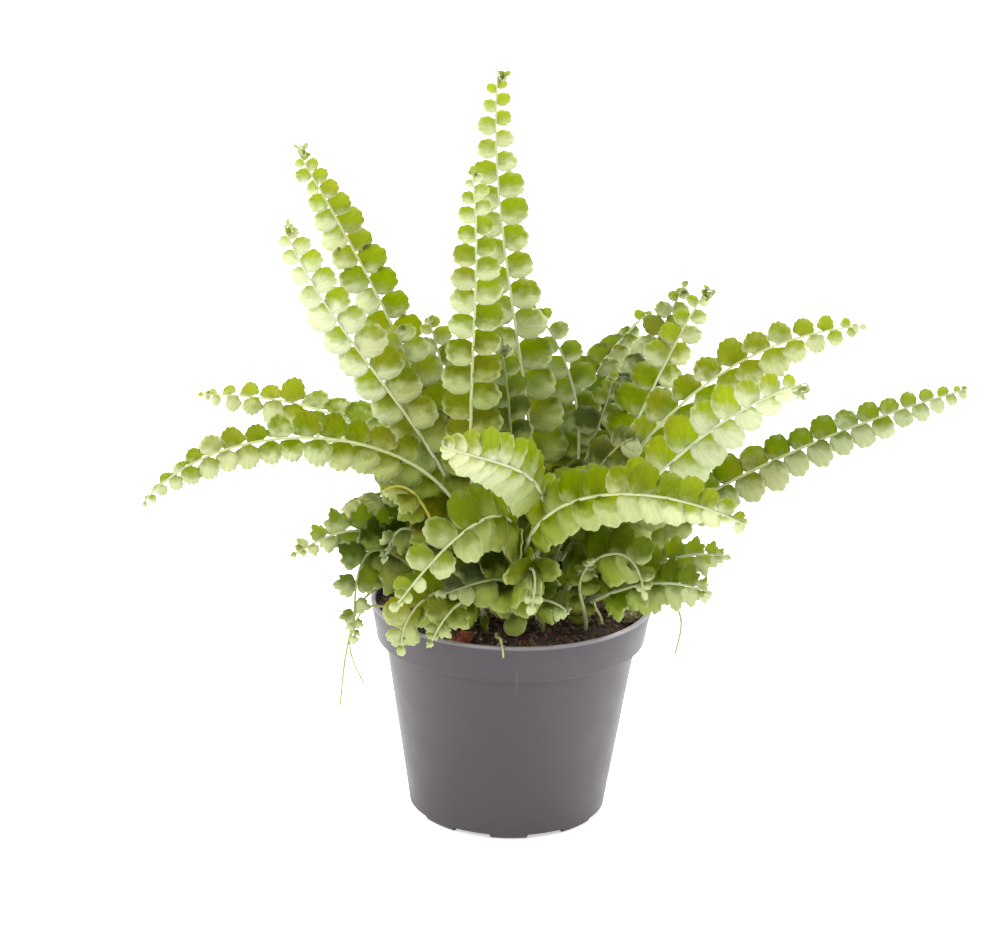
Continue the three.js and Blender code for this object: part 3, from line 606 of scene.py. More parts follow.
# For each tone: the pale painted highlight of a leaflet lit from the front, the blade itself, the light that
# comes through it, and how much painted light from behind a leaflet has that stands level.
TONES = {
    "fresh": ("#cdd5a2", "#8a9b12", "#a3b000", 0.46),
    "pale": ("#d3d8b6", "#a2b044", "#aab828", 0.26),
    "middle": ("#b9c294", "#6e8212", "#8c9b00", 0.46),
    "deep": ("#98a26e", "#51670e", "#6c7d00", 0.5),
    "yellow": ("#c6c456", "#a0a012", "#adb000", 0.6),
}
# How many veins fan out at the leaflet's root and at its rim, and the half width of one, sharp and
# faded, as a share of the space between two.
VEINS = ((TEETH, 0.04, 0.14), (2 * TEETH, 0.08, 0.24))


def fan_veins(tree, turn, reach):
    """Thin veins that fan out from the leaflet's root and fork half way."""
    first, second = [
        ramped(tree, apart(tree, maths(tree, "FRACT", times(tree, turn, number)), 0.5), sharp, faded, 1, 0)
        for number, sharp, faded in VEINS]
    return maths(tree, "MAXIMUM", first, times(tree, second, ramped(tree, reach, 0.4, 0.55)))


def leaf_blade(tone, under):
    """A thin fern leaf: a satin skin over green tissue. Its colour is painted between a pale highlight and
    the darker blade by painted light from behind: an upright leaflet gets the darker, more translucent look,
    a hanging one the highlight."""
    painted_sheen, blade, through, _ = TONES[tone]
    material, tree = new_material(f"leaf_{tone}_{'under' if under else 'upper'}")
    turn, reach, _ = split(tree, add(tree, "ShaderNodeUVMap", uv_map="fan").outputs[0])
    veins = fan_veins(tree, turn, reach)
    youth = attribute(tree, "youth")
    # Blotches about 4 mm across, as the blade's tissue thickens and thins, and a pale rim, a painted
    # highlight along the margin that also lessens the painted light from behind there.
    blotches = ramped(tree, grain(tree, 4 * MM, 3), 0.35, 0.65, -0.16, 0.16)
    rim = ramped(tree, reach, 0.84, 0.98, 0, 0.3)
    glow = ramped(tree, minus(tree, plus(tree, attribute(tree, "glow"), blotches), rim), 0.2, 0.8)
    # Leaflets deep in the plant get a painted green shade, in place of the green light that reaches them, and
    # a frond turns warmer in patches about 30 mm across.
    warm = ramped(tree, grain(tree, 30 * MM, 1), 0.45, 0.7, 0, 0.45)
    painted_sheen = blended(tree, attribute(tree, "depth"), painted_sheen, "#8a9c2e")
    # Painted light and shade: the more painted light from behind, the more the pale painted highlight gives
    # way to the darker blade.
    skin = blended(tree, warm, blended(tree, glow, painted_sheen, blade), "#bcb76c")
    skin = blended(tree, times(tree, youth, 0.7), skin, "#dae2b0")
    if under:
        skin = blended(tree, 0.25, skin, "#c6d19c")
    # A painted highlight along the rim.
    skin = blended(tree, rim, skin, "#d5dea6")
    skin = blended(tree, times(tree, veins, 0.12), skin, "#d3dcb0" if under else "#5f7020")
    light = blended(tree, warm, through, "#b2a800")
    light = blended(tree, times(tree, youth, 0.5), light, "#cdd44c")
    light = blended(tree, times(tree, veins, 0.14), light, "#727e06")
    relief = plus(tree, times(tree, veins, 0.3 if under else -0.2), grain(tree, 0.8 * MM))
    bump = bumped(tree, relief, 0.35, 0.12 * MM)
    surface = principled(
        tree, skin, 0.5 if under else 0.4, IOR=1.42, Specular_IOR_Level=0.3, Normal=bump)
    inside = add(tree, "ShaderNodeBsdfTranslucent", {"Color": light, "Normal": bump}).outputs[0]
    # The more painted light from behind, the more of the leaflet is translucent.
    share_through = ramped(tree, glow, 0, 1, 0.3, 0.92)
    return finished(material, add(
        tree, "ShaderNodeMixShader", {0: share_through, 1: surface, 2: inside}).outputs[0])


def stalk_skin():
    """A fern's stalk: brown and wiry at the soil, green higher up."""
    material, tree = new_material("stalk_skin")
    height = split(tree, object_place(tree))[2]
    flecks = grain(tree, 1.2 * MM, 3)
    low = ramped(tree, height, POT_HEIGHT, POT_HEIGHT + 50 * MM)
    high = ramped(tree, height, POT_HEIGHT + 40 * MM, POT_HEIGHT + 110 * MM)
    brown = blended(tree, flecks, "#4a4a1e", "#6a6a30")
    green = blended(tree, flecks, "#6f8434", "#8a9c4a")
    colour = blended(tree, high, blended(tree, low, brown, green), "#9bae46")
    return finished(material, principled(tree, colour, 0.5, Normal=bumped(tree, flecks, 0.4, 0.1 * MM)))


def root_skin():
    """A fern's runner: a dull yellow-green cord under a fuzz of pale hairs."""
    material, tree = new_material("root_skin")
    flecks = ramped(tree, grain(tree, 1.5 * MM, 4), 0.3, 0.7)
    colour = blended(tree, flecks, "#868a48", "#b9bb80")
    return finished(material, principled(tree, colour, 0.75, Normal=bumped(tree, flecks, 0.5, 0.15 * MM)))


def hair_fibre():
    """Fern hair: pale, dry and matt, like fine wool."""
    material, tree = new_material("hair_fibre")
    colour = blended(tree, grain(tree, 4 * MM), "#b2b274", "#dad8b4")
    return finished(material, principled(tree, colour, 0.8))


def moulded_polypropylene(colour):
    """Injection-moulded polypropylene: satin, with a faint vertical flow and fine scuffs from handling."""
    material, tree = new_material("moulded_polypropylene")
    place = object_place(tree)
    x, y, height = split(tree, place)
    # Flow lines about 1.5 mm apart, drawn out up the wall, and handling marks about 12 mm across.
    drawn_out = add(tree, "ShaderNodeMapping", {"Vector": place, "Scale": (1, 1, 0.08)}).outputs[0]
    flow = grain(tree, 1.5 * MM, place=drawn_out)
    marks = grain(tree, 12 * MM, 4, 0.6)
    skin = blended(tree, marks, [*(0.86 * part for part in colour), 1], [*colour, 1])
    # The lip's outer edge is polished, and painted paler there as a highlight along the lip.
    lip = ramped(tree, height, POT_HEIGHT - 1.6 * MM, POT_HEIGHT - 0.5 * MM)
    skin = blended(tree, times(tree, lip, 0.4), skin, "#b4aeb3")
    roughness = minus(tree, ramped(tree, marks, 0.3, 0.7, 0.5, 0.6), times(tree, lip, 0.26))
    # Where the mould's halves meet, a raised line 0.3 mm wide runs down the front of the collar.
    line = ramped(tree, apart(tree, x, PARTING_X), 0.1 * MM, 0.35 * MM, 1, 0)
    near_step = ramped(tree, apart(tree, height, COLLAR_FOOT), 3 * MM, 8 * MM, 1, 0)
    parting = times(tree, line, times(tree, maths(tree, "LESS_THAN", y, 0), near_step))
    skin = blended(tree, times(tree, parting, 0.07), skin, "#b4aeb3")
    relief = plus(tree, plus(tree, times(tree, flow, 0.5), grain(tree, 0.4 * MM)), times(tree, parting, 0.9))
    return finished(material, principled(
        tree, skin, roughness, IOR=1.49, Specular_IOR_Level=0.4, Coat_Weight=0.12, Coat_Roughness=0.18,
        Normal=bumped(tree, relief, 0.12, 0.08 * MM)))


def crumbly(name, dark, light, size):
    """A dull crumbly stuff, such as peat, bark or grit, in two shades with grains of a size."""
    material, tree = new_material(name)
    shades = ramped(tree, grain(tree, size, 4, 0.65), 0.35, 0.65)
    part_light = plus(tree, times(tree, attribute(tree, "tint"), 0.6), times(tree, shades, 0.4))
    colour = blended(tree, part_light, dark, light)
    return finished(material, principled(tree, colour, 0.9, Normal=bumped(tree, shades, 0.8, 0.3 * MM)))


def lit_acrylic():
    """A white acrylic table lit from below, as for product photographs: matt, even, almost no shadow."""
    material, tree = new_material("lit_acrylic")
    white = linear("#fbfbfb")
    return finished(material, principled(tree, white, 0.9, Emission_Color=white, Emission_Strength=0.5))


# ---- Where every leaflet grows, in millimetres, as in the solids ----

class Place:
    """A station of a rib: where it is, where it runs, and the side and upper face of the frond there."""

    def __init__(self, rib, across_blade, t):
        ahead, behind = rib_point(rib, t + PLACE_STEP), rib_point(rib, t - PLACE_STEP)
        self.centre = rib_point(rib, t)
        self.along = unit(ahead - behind)
        self.side = unit(across_blade - self.along * (across_blade @ self.along))
        self.face = np.cross(self.side, self.along)
        self.half_width = mix(STALK_HALF_WIDTH, TIP_HALF_WIDTH, t)


class Leaflet:
    """A leaflet that grows from one side of a rib, folded by an angle about it."""

    def __init__(self, place, handed, length, width, fold, lean, twist):
        out = place.side * handed
        raised = out * math.cos(fold) + place.face * math.sin(fold)
        flat_normal = place.face * math.cos(fold) - out * math.sin(fold)
        flat_cross = place.along * math.cos(lean) - raised * math.sin(lean)
        self.axis = raised * math.cos(lean) + place.along * math.sin(lean)
        self.cross = flat_cross * math.cos(twist) + flat_normal * math.sin(twist)
        self.normal = flat_normal * math.cos(twist) - flat_cross * math.sin(twist)
        self.length, self.width = length, width
        self.root = place.centre + out * place.half_width
        self.middle = self.root + self.axis * length / 2
        shape = next(points for below, points in OUTLINES if width < below)
        self.outline = [
            self.middle + self.axis * length * radius * math.cos(math.radians(turn))
            + self.cross * width * radius * math.sin(math.radians(turn)) for turn, radius in shape]
        loop = np.array([self.root, *self.outline, self.root])
        self.starts, self.ends = loop[:-1], loop[1:]

    def met_by(self, starts, ends, margin):
        """True where a line between two points comes within a margin of the leaflet, taken as a flat oval."""
        axes = np.stack([self.axis, self.cross, self.normal], 1)
        scale = (LEAFLET_REACH * self.length + margin / 2, LEAFLET_REACH * self.width + margin / 2, margin)
        start = (starts - self.middle) @ axes / scale
        step = (ends - self.middle) @ axes / scale - start
        with np.errstate(divide="ignore", invalid="ignore"):
            crossings = np.array([(-1 - start[:, 2]) / step[:, 2], (1 - start[:, 2]) / step[:, 2]])
            nearest = -(start[:, :2] * step[:, :2]).sum(1) / (step[:, :2] ** 2).sum(1)
        enter = np.maximum(0, crossings.min(0))
        leave = np.minimum(1, crossings.max(0))
        t = np.maximum(enter, np.minimum(leave, nearest))
        offset = np.hypot(*(start[:, :2] + t[:, None] * step[:, :2]).T)
        return bool(((enter <= leave) & (offset < 1)).any())


def unit(vector):
    return vector / np.linalg.norm(vector)


def rib_point(rib, t):
    """A point of the rib, on the cubic through its four points."""
    first, second, third, last = rib
    return (
        first * (1 - 3 * t) * (2 - 3 * t) * (1 - t) / 2 + second * 9 * t * (2 - 3 * t) * (1 - t) / 2
        + third * 9 * t * (3 * t - 1) * (1 - t) / 2 + last * t * (3 * t - 1) * (3 * t - 2) / 2)


def smooth_route(route, pieces=20):
    """Points on a smooth curve through a route's own points, which it passes at even steps."""
    knots = np.array(route, float)
    before = np.array([2 * knots[0] - knots[1], *knots[:-1]])
    after = np.array([*knots[1:], 2 * knots[-1] - knots[-2]])
    slopes = (after - before) / 2
    points = []
    for step in range(pieces + 1):
        where = step / pieces * (len(knots) - 1)
        i = min(int(where), len(knots) - 2)
        t = where - i
        points.append(
            (2 * t ** 3 - 3 * t ** 2 + 1) * knots[i] + (t ** 3 - 2 * t ** 2 + t) * slopes[i]
            + (3 * t ** 2 - 2 * t ** 3) * knots[i + 1] + (t ** 3 - t ** 2) * slopes[i + 1])
    return points


def clear_of_pot(point):
    """Outside the pot a point stays off its wall, inside it stays above the soil."""
    radius = math.hypot(point[0], point[1])
    rim, height = RIM_RADIUS / MM, POT_HEIGHT / MM
    if radius > rim + POT_CLEARANCE or point[2] > height + POT_CLEARANCE:
        return True
    above = point[2] > SOIL_EDGE / MM + SOIL_HEAP + POT_CLEARANCE
    return above and radius < rim - POT_WALL - 2 * POT_CLEARANCE


class Plant:
    """Every rib, and the leaflets placed so far, each bent clear of the others."""

    def __init__(self):
        self.ribs = [np.array(frond.rib, float) for frond in FRONDS]
        lines = [[rib_point(rib, i / RIB_PIECES) for i in range(RIB_PIECES + 1)] for rib in self.ribs]
        lines += [smooth_route(route) for _, route in RUNNERS.values()]
        self.lengths = [sum(np.linalg.norm(b - a) for a, b in zip(line, line[1:])) for line in lines]
        self.starts = np.array([point for line in lines for point in line[:-1]])
        self.ends = np.array([point for line in lines for point in line[1:]])
        self.owners = np.array([i for i, line in enumerate(lines) for _ in line[:-1]])
        self.taken = []

    def place(self, order, t):
        return Place(self.ribs[order], np.array(FRONDS[order].across, float), t)

    def is_clear(self, leaflet, order, gap):
        if not all(clear_of_pot(point) for point in [*leaflet.outline, leaflet.middle]):
            return False
        for other in self.taken:
            reach = NEAR_LEAFLET * (leaflet.length + other.length)
            if np.linalg.norm(other.middle - leaflet.middle) <= reach and (
                    other.met_by(leaflet.starts, leaflet.ends, gap)
                    or leaflet.met_by(other.starts, other.ends, gap)):
                return False
        distance = np.linalg.norm(self.starts - leaflet.middle, axis=1)
        near = distance < 2 * leaflet.length + 2 * STALK_CLEARANCE
        own = self.owners == order
        from_root = [np.linalg.norm(ends - leaflet.root, axis=1) for ends in (self.starts, self.ends)]
        rooted = np.minimum(*from_root) < leaflet.width / 2
        for chosen, margin in ((near & ~own, STALK_CLEARANCE), (near & own & ~rooted, OWN_RIB_CLEARANCE)):
            if leaflet.met_by(self.starts[chosen], self.ends[chosen], margin):
                return False
        return True

    def sprout(self, family, order, number, t, handed, space, lean, shift=0.0):
        """A leaflet at its wanted fold, or bent clear of what is already there, or else none. It comes
        with the share of the rib where it grows and its own number."""
        key = family.first + number
        place = self.place(order, t)
        width = space * drawn(family.width, order, key)
        length = width + family.longer
        fold = math.radians(drawn(family.fold, order, key + FOLD))
        twist = math.radians(drawn(family.twist, order, key + TWIST))
        for size in SIZE_TRIES:
            for extra in FOLD_TRIES:
                leaflet = Leaflet(
                    place, handed, length * size, width * size, fold + math.radians(extra),
                    math.radians(lean), twist)
                if self.is_clear(leaflet, order, family.gap):
                    self.taken.append(leaflet)
                    yield t + shift, key, leaflet
                    return

    def pair(self, family, order, i, t, space, lean, share):
        """The two leaflets of a pair, of which one stands behind and one before their place."""
        for handed in (-1, 1):
            number = 2 * i + (handed + 1) // 2
            yield from self.sprout(family, order, number, t, handed, space, lean, handed * STAGGER * share)

    def station(self, order, i):
        """The share of the rib where a pair of the solids grows. Pairs are closer towards the tip."""
        frond = FRONDS[order]
        return frond.bare + (1 - frond.bare) * (1 - (1 - i / frond.pairs) ** CROWDING)

    def leaflets(self, order):
        """The leaflets that stand where the solids have theirs."""
        pairs = FRONDS[order].pairs
        for i in range(pairs):
            t = self.station(order, i)
            share = self.station(order, i + 1) - t
            lean = LEAST_LEAN + LEAN_GAIN * (i / pairs) ** 2
            yield from self.pair(GROWN, order, i, t, share * self.lengths[order], lean, share)

    def low_leaflets(self, order):
        """The small leaflets below those of the solids, where the rib is bare in the solids."""
        frond, length = FRONDS[order], self.lengths[order]
        pitch = length * (1 - frond.bare) / frond.pairs * LOW_SPACING
        pairs = int(length * (frond.bare - LOWEST_LEAFLET) / pitch)
        for i in range(pairs):
            share = (frond.bare - LOWEST_LEAFLET) / pairs
            t = frond.bare - (i + 1) * share
            yield from self.pair(LOW, order, i, t, min(WIDEST_LOW, pitch), LEAST_LEAN, share)

    def tip_leaflets(self, order):
        """The smallest leaflets, between the last pair of the solids and the end of the rib."""
        frond = FRONDS[order]
        last = self.station(order, frond.pairs - 1)
        room = (1 - last) * self.lengths[order]
        for i, (where, handed, size, lean) in enumerate(() if frond.curled else TIP_LEAFLETS):
            width = max(LEAST_WIDTH, size * room)
            yield from self.sprout(TIP, order, i, mix(last, 1, where), handed, width, lean)


# ---- Leaflets ----

# For each kind: the half angle of the fan, how round its far edge is, the depth of its teeth and
# of its lobes.
KINDS = {
    "round": (82, 0.84, 0.05, 0.0),
    "wedged": (70, 0.6, 0.06, 0.0),
    "lobed": (74, 0.55, 0.075, 0.2),
}
VARIANTS = 4
FACES_A_TOOTH = 3
# The columns of a lobed leaflet's grid that are cut in, each with its share of the lobes' depth.
CUTS = {6: 0.4, 7: 1, 8: 0.4, 13: 0.4, 14: 1, 15: 0.4}
CUP = (0.24, 0.2)
DROOP = (-0.16, 0.12)
UNEVEN_TOOTH = 0.03
WAVE = 0.02
MIDDLE_ROW = 0.56
BROAD_SIDE, NARROW_SIDE = 1.08, 0.94
ROOT_OVERLAP = 0.04


def leaflet_model(kind, variant, thickness):
    """A leaflet one unit long and wide with its root at the origin: a grid bent into a cupped fan."""
    half_angle, roundness, tooth, lobe = KINDS[kind]
    number = 10 * list(KINDS).index(kind) + variant
    columns = TEETH * FACES_A_TOOTH
    deselect()
    bpy.ops.mesh.primitive_grid_add(x_subdivisions=columns, y_subdivisions=2, size=1, calc_uvs=True)
    piece = named(bpy.context.object, f"leaflet_{kind}_{variant}")
    mesh = piece.data
    mesh.uv_layers[0].name = "fan"
    cup, droop = drawn(CUP, number, 1), drawn(DROOP, number, 2)
    spots = []
    for vertex in mesh.vertices:
        column = round((vertex.co.x + 0.5) * columns)
        reach = vertex.co.y + 0.5
        turn = math.radians(half_angle) * (2 * column / columns - 1)
        radius = math.cos(turn * roundness) * (1 + UNEVEN_TOOTH * draw(number, 10 + column // FACES_A_TOOTH))
        if column % FACES_A_TOOTH == 0:
            radius *= 1 - tooth * reach ** 2
        if lobe:
            radius *= 1 - lobe * reach * CUTS.get(column, 0)
        reach = MIDDLE_ROW if reach == 0.5 else reach
        forward = radius * reach * math.cos(turn)
        sideways = radius * reach * math.sin(turn) * (BROAD_SIDE if turn > 0 else NARROW_SIDE)
        wave = WAVE * math.sin(2.3 * column + number) * reach ** 2
        spots.append(Vector((forward, sideways, droop * forward ** 2 - cup * sideways ** 2 + wave)))
    widest = max(spot.y for spot in spots) - min(spot.y for spot in spots)
    for vertex, spot in zip(mesh.vertices, spots):
        vertex.co = (spot.x * (1 + ROOT_OVERLAP) - ROOT_OVERLAP, spot.y / widest, spot.z)
    # Attributes for painted light from behind, for youth and for painted shade deep in the plant.
    for name in ("glow", "youth", "depth"):
        mesh.attributes.new(name, "FLOAT", "POINT")
    merge_doubles(piece, 1e-4)
    if mesh.polygons[0].normal.z < 0:
        mesh.flip_normals()
    for _ in range(2):
        mesh.materials.append(None)
    apply_modifier(piece, "SOLIDIFY", thickness=thickness, offset=0, material_offset=1)
    for polygon in mesh.polygons:
        polygon.use_smooth = True
    return piece


def leaflet_models(thickness):
    return {kind: [leaflet_model(kind, variant, thickness) for variant in range(VARIANTS)] for kind in KINDS}


# How far hairs lean along the stalk, their length against the wanted one, and how deep in the
# stalk they start, as a share of its radius.
HAIR_LEAN = 0.35
HAIR_REACH = (0.75, 0.35)
HAIR_ROOT = 0.6
HAIR_SPACING = 1.6


def hair_model():
    """A hair one unit long: a cone of three sides."""
    deselect()
    bpy.ops.mesh.primitive_cone_add(vertices=3, radius1=0.05, radius2=0, depth=1, location=(0, 0, 0.5))
    bpy.ops.object.transform_apply()
    return named(bpy.context.object, "hair")


def drawn_vector(first, numbers):
    return Vector([draw(first, second) for second in numbers])


def hairs(model, line, radii, number, length, seed):
    """Hairs that stand out all round a line of points."""
    pieces = []
    for i in range(number):
        where = (i + 0.5 + 0.4 * draw(seed, i)) / number * (len(line) - 1.001)
        k = int(where)
        start, end = Vector(line[k]), Vector(line[k + 1])
        along = (end - start).normalized()
        out = across(drawn_vector(seed, (i + 1000, i + 2000, i + 3000)), along) + HAIR_LEAN * along
        turn = out.to_track_quat("Z", "Y").to_matrix().to_4x4()
        size = Matrix.Diagonal((length, length, length * drawn(HAIR_REACH, seed, i + 4000), 1))
        root = start.lerp(end, where - k) + out.normalized() * radii[k] * HAIR_ROOT
        pieces.append(placed_copy(model, Matrix.Translation(root) @ turn @ size))
    return pieces


# The thicker fuzz at the foot of a stalk: its hairs, the points of the rib that bear it, and its
# length against that of other hairs.
FOOT_HAIRS = 40
FOOT_POINTS = 8
FOOT_HAIR_LENGTH = 2.4
# The way from which most of the painted light comes through the leaflets, the way to which their faces
# turn, the most that one turns about its own axis in degrees, and its share of the full turn.
UPWARDS = np.array((0, 0.35, 0.94))
LIGHTWARD = np.array((0, -0.88, 0.48))
MOST_TURN = 26
TURN_SHARE = 0.6
# How much more painted light from behind a leaflet gets that stands upright, that is drawn so, that is deep
# in the plant, and on a leaflet's upper part.
STANDING_GLOW, DRAWN_GLOW, DEEP_GLOW, UPPER_GLOW = 0.3, 0.3, 0.12, 0.6
# The middle of the plant, in millimetres, round which leaflets get a painted shade of green light.
HEART = np.array((0, -20, 115))
HEART_RADIUS = 115
DEPTH_GAIN = 1.7
# The shares of the rib from which leaflets get smaller and younger towards the tip, the size of the
# last one, and how far size and tilt are drawn apart.
SMALLER_FROM, YOUNGER_FROM = 0.78, 0.55
LAST_SIZE = 0.72
SIZE_SPREAD, TILT_SPREAD = 0.09, 0.14
YOUTH_POWER = 1.5
ROOT_GAP = 0.1
# A young tip's coil, in millimetres and degrees: its points, the turn between two, its radius, how
# much that shrinks with each point, how it slants out of the frond, and the size of its leaflets.
RIB_STEPS = 44
COIL_POINTS = 16
COIL_TURN = 24
COIL_RADIUS = 2.6
COIL_SHRINKING = 0.09
COIL_SLANT = 0.7
COIL_LEAFLET = (2.8, 0.6)


def past(t, start):
    """How far a share of the rib is past a start, from 0 there to 1 at the tip."""
    return max(0, (t - start) / (1 - start))


def turn_to_light(leaflet):
    """The turn about its axis by which a leaflet brings its face, upper or under, towards the light."""
    ahead, aside = float(leaflet.normal @ LIGHTWARD), float(leaflet.cross @ LIGHTWARD)
    turn = math.atan(-aside / ahead) if abs(ahead) > 1e-6 else math.pi / 2
    most = math.radians(MOST_TURN)
    return max(-most, min(most, TURN_SHARE * turn))


def shade(piece, glow, reach):
    """Paints more light from behind on a leaflet's upper part than on its lower."""
    heights = vertex_places(piece)[:, 2]
    values = glow + UPPER_GLOW * (heights - heights.mean()) / reach
    piece.data.attributes["glow"].data.foreach_set("value", values)


class FERN_OT_fronds(bpy.types.Operator):
    """Grow every frond: its rib, its leaflets bent clear of one another, its coil and its hairs"""

    bl_idname = "fern.fronds"
    bl_label = "Fronds"

    def execute(self, context):
        settings = context.scene.fern_leaf
        plant = Plant()
        models = leaflet_models(settings.thickness)
        hair = hair_model()
        stalk, fuzz = stalk_skin(), hair_fibre()
        blades = {tone: (leaf_blade(tone, False), leaf_blade(tone, True)) for tone in TONES}
        orders = range(len(FRONDS))
        grown = [
            [list(grow(order)) for order in orders]
            for grow in (plant.leaflets, plant.low_leaflets, plant.tip_leaflets)]
        for order, frond in enumerate(FRONDS):
            kind = "lobed" if frond.name in LOBED else "wedged" if frond.name in WEDGED else "round"
            leaflets = [leaflet for family in grown for leaflet in family[order]]
            leafy = self.blades(plant, order, leaflets, models[kind], settings)
            line, radii = self.rib_line(plant, order, settings)
            rib = tube("rib", line, radii)
            number = int(plant.lengths[order] / HAIR_SPACING)
            tufts = hairs(hair, line, radii, number, settings.hair_length, order)
            foot_length = FOOT_HAIR_LENGTH * settings.hair_length
            tufts += hairs(hair, line[:FOOT_POINTS], radii, FOOT_HAIRS, foot_length, order + 200)
            use_slot(rib, 2, 4)
            for tuft in tufts:
                use_slot(tuft, 3, 4)
            if frond.curled:
                leafy += self.coil_leaflets(models["round"], line, order)
            for part in leafy + tufts:
                keep_inside(part)
            piece = joined([rib, *leafy, *tufts], f"leafy_{frond.name}")
            materials = [*blades[frond.tone], stalk, fuzz]
            finish_piece(piece, materials, [f"frond_{frond.name}"])
        remove([model for variants in models.values() for model in variants] + [hair])
        return {"FINISHED"}

    def blades(self, plant, order, leaflets, models, settings):
        """The leaflets of a frond, each turned a little to the light, with painted light and painted shade by
        where it stands.
        """
        level = TONES[FRONDS[order].tone][3]
        pieces = []
        for t, key, leaflet in leaflets:
            model = models[int(drawn_share(order, key + VARIANT) * VARIANTS) % VARIANTS]
            root = rib_point(plant.ribs[order], t) + leaflet.axis * ROOT_GAP
            size = (1 + SIZE_SPREAD * draw(order, key + SIZE)) * mix(1, LAST_SIZE, past(t, SMALLER_FROM))
            length = (leaflet.length + STALK_HALF_WIDTH / 2) * settings.length * size
            matrix = basis(
                leaflet.axis * length * MM, leaflet.cross * leaflet.width * settings.width * size * MM,
                leaflet.normal * length * MM, root * MM)
            tilt = Matrix.Rotation(turn_to_light(leaflet) + TILT_SPREAD * draw(order, key + TILT), 4, "X")
            # Painted light and shade: leaflets deep in the plant get a green painted shade, upright ones more
            # painted light from behind.
            depth = max(0, 1 - np.linalg.norm(leaflet.middle - HEART) / HEART_RADIUS)
            standing = float(leaflet.axis @ UPWARDS)
            glow = level + STANDING_GLOW * standing + DRAWN_GLOW * draw(order, key + GLOW)
            youth = past(t, YOUNGER_FROM) ** YOUTH_POWER
            piece = placed_copy(model, matrix @ tilt, youth=youth, depth=min(1, DEPTH_GAIN * depth))
            shade(piece, glow + DEEP_GLOW * depth, leaflet.length * MM / 2)
            pieces.append(piece)
        return pieces

    def rib_line(self, plant, order, settings):
        """The points of a rib and its radius at each, from under the soil to the tip or round its coil."""
        rib = plant.ribs[order]
        line = [rib[0] - (0, 0, STALK_DEPTH)] + [rib_point(rib, i / RIB_STEPS) for i in range(RIB_STEPS + 1)]
        if FRONDS[order].curled:
            tip = plant.place(order, 1)
            for i in range(1, COIL_POINTS + 1):
                turn = math.radians(COIL_TURN * i)
                radius = COIL_RADIUS - COIL_SHRINKING * i
                inwards = COIL_SLANT * tip.face + COIL_SLANT * tip.side
                line.append(
                    tip.centre + tip.along * radius * math.sin(turn)
                    + inwards * (COIL_RADIUS - radius * math.cos(turn)))
        share = np.minimum(1, np.arange(len(line)) / RIB_STEPS)
        radii = mix(settings.stalk_radius, settings.tip_radius, share)
        line = np.clip(np.array(line) * MM, BOX_LOW + settings.tip_radius, BOX_HIGH - settings.tip_radius)
        return list(line), list(radii)

    def coil_leaflets(self, models, line, order):
        """Small unopened leaflets packed along the coil of a young tip."""
        pieces = []
        for i in range(1 - COIL_POINTS, -1):
            spot = Vector(line[i])
            along = (Vector(line[i + 1]) - spot).normalized()
            side = across(drawn_vector(order, (i + 700, i + 800, i + 900)), along)
            size = drawn(COIL_LEAFLET, order, i + 950) * MM
            matrix = basis(side * size, along * size * 0.8, side.cross(along) * size, spot)
            # A drawn amount of painted light from behind.
            glow = 0.5 + 0.4 * draw(order, i)
            pieces.append(placed_copy(models[i % VARIANTS], matrix, glow=glow, youth=0.5, depth=0))
        return pieces


RUNNER_STEPS = 60
RUNNER_TIP = 0.55
RUNNER_HAIRS, OLD_STALK_HAIRS = 90, 220


class FERN_OT_runners(bpy.types.Operator):
    """Lay the runners and roots over the rim, each with its fuzz of hairs"""

    bl_idname = "fern.runners"
    bl_label = "Runners and roots"

    def execute(self, context):
        settings = context.scene.fern_leaf
        hair = hair_model()
        skin, fuzz = root_skin(), hair_fibre()
        for order, (name, (radius, route)) in enumerate(RUNNERS.items()):
            line = [point * MM for point in smooth_route(route, RUNNER_STEPS)]
            radii = [radius * MM * mix(1, RUNNER_TIP, i / RUNNER_STEPS) for i in range(RUNNER_STEPS + 1)]
            body = tube(name, line, radii)
            use_slot(body, 0, 2)
            number = OLD_STALK_HAIRS if name == "old_stalk" else RUNNER_HAIRS
            tufts = hairs(hair, line, radii, number, settings.hair_length, 60 + order)
            for tuft in tufts:
                use_slot(tuft, 1, 2)
            finish_piece(joined([body, *tufts], f"fuzzy_{name}"), [skin, fuzz], [name])
        remove([hair])
        return {"FINISHED"}


# ---- Pot ----

COLLAR_FOOT = POT_HEIGHT - 16.6 * MM
COLLAR_FOOT_RADIUS = 57.3 * MM
BODY_TOP_RADIUS = 53.7 * MM
BASE_RADIUS = 42.2 * MM
FLOOR_RISE = 2.4 * MM
BOSS_RADIUS = 16 * MM
FOOT_RING = 6 * MM
BASE_CORNER = 3 * MM
STEP_CORNER = 0.7 * MM
FOOT_COUNT = 8
FOOT_PITCH = 360 / FOOT_COUNT
FOOT_ANGLE = 22
FRONT_FOOT_ANGLE = -88.5
DRAIN_RADIUS = 3 * MM
DRAIN_RING_RADIUS = 27 * MM
PARTING_X = 2.6 * MM
# The heights at which the body's wall lies a little inside a straight line, as moulded plastic sinks.
SINK_HEIGHTS = (10 * MM, 25 * MM, 40 * MM, 55 * MM, 70 * MM)
SINK = 0.02 * MM


def arc(centre, radius, start, end, steps):
    """Points of a round corner of a profile, its angles in degrees."""
    turns = [math.radians(mix(start, end, i / steps)) for i in range(steps + 1)]
    return [(centre[0] + radius * math.cos(turn), centre[1] + radius * math.sin(turn)) for turn in turns]


def body_radius(height):
    return mix(BASE_RADIUS, BODY_TOP_RADIUS, (height - BASE_CORNER) / (COLLAR_FOOT - BASE_CORNER))


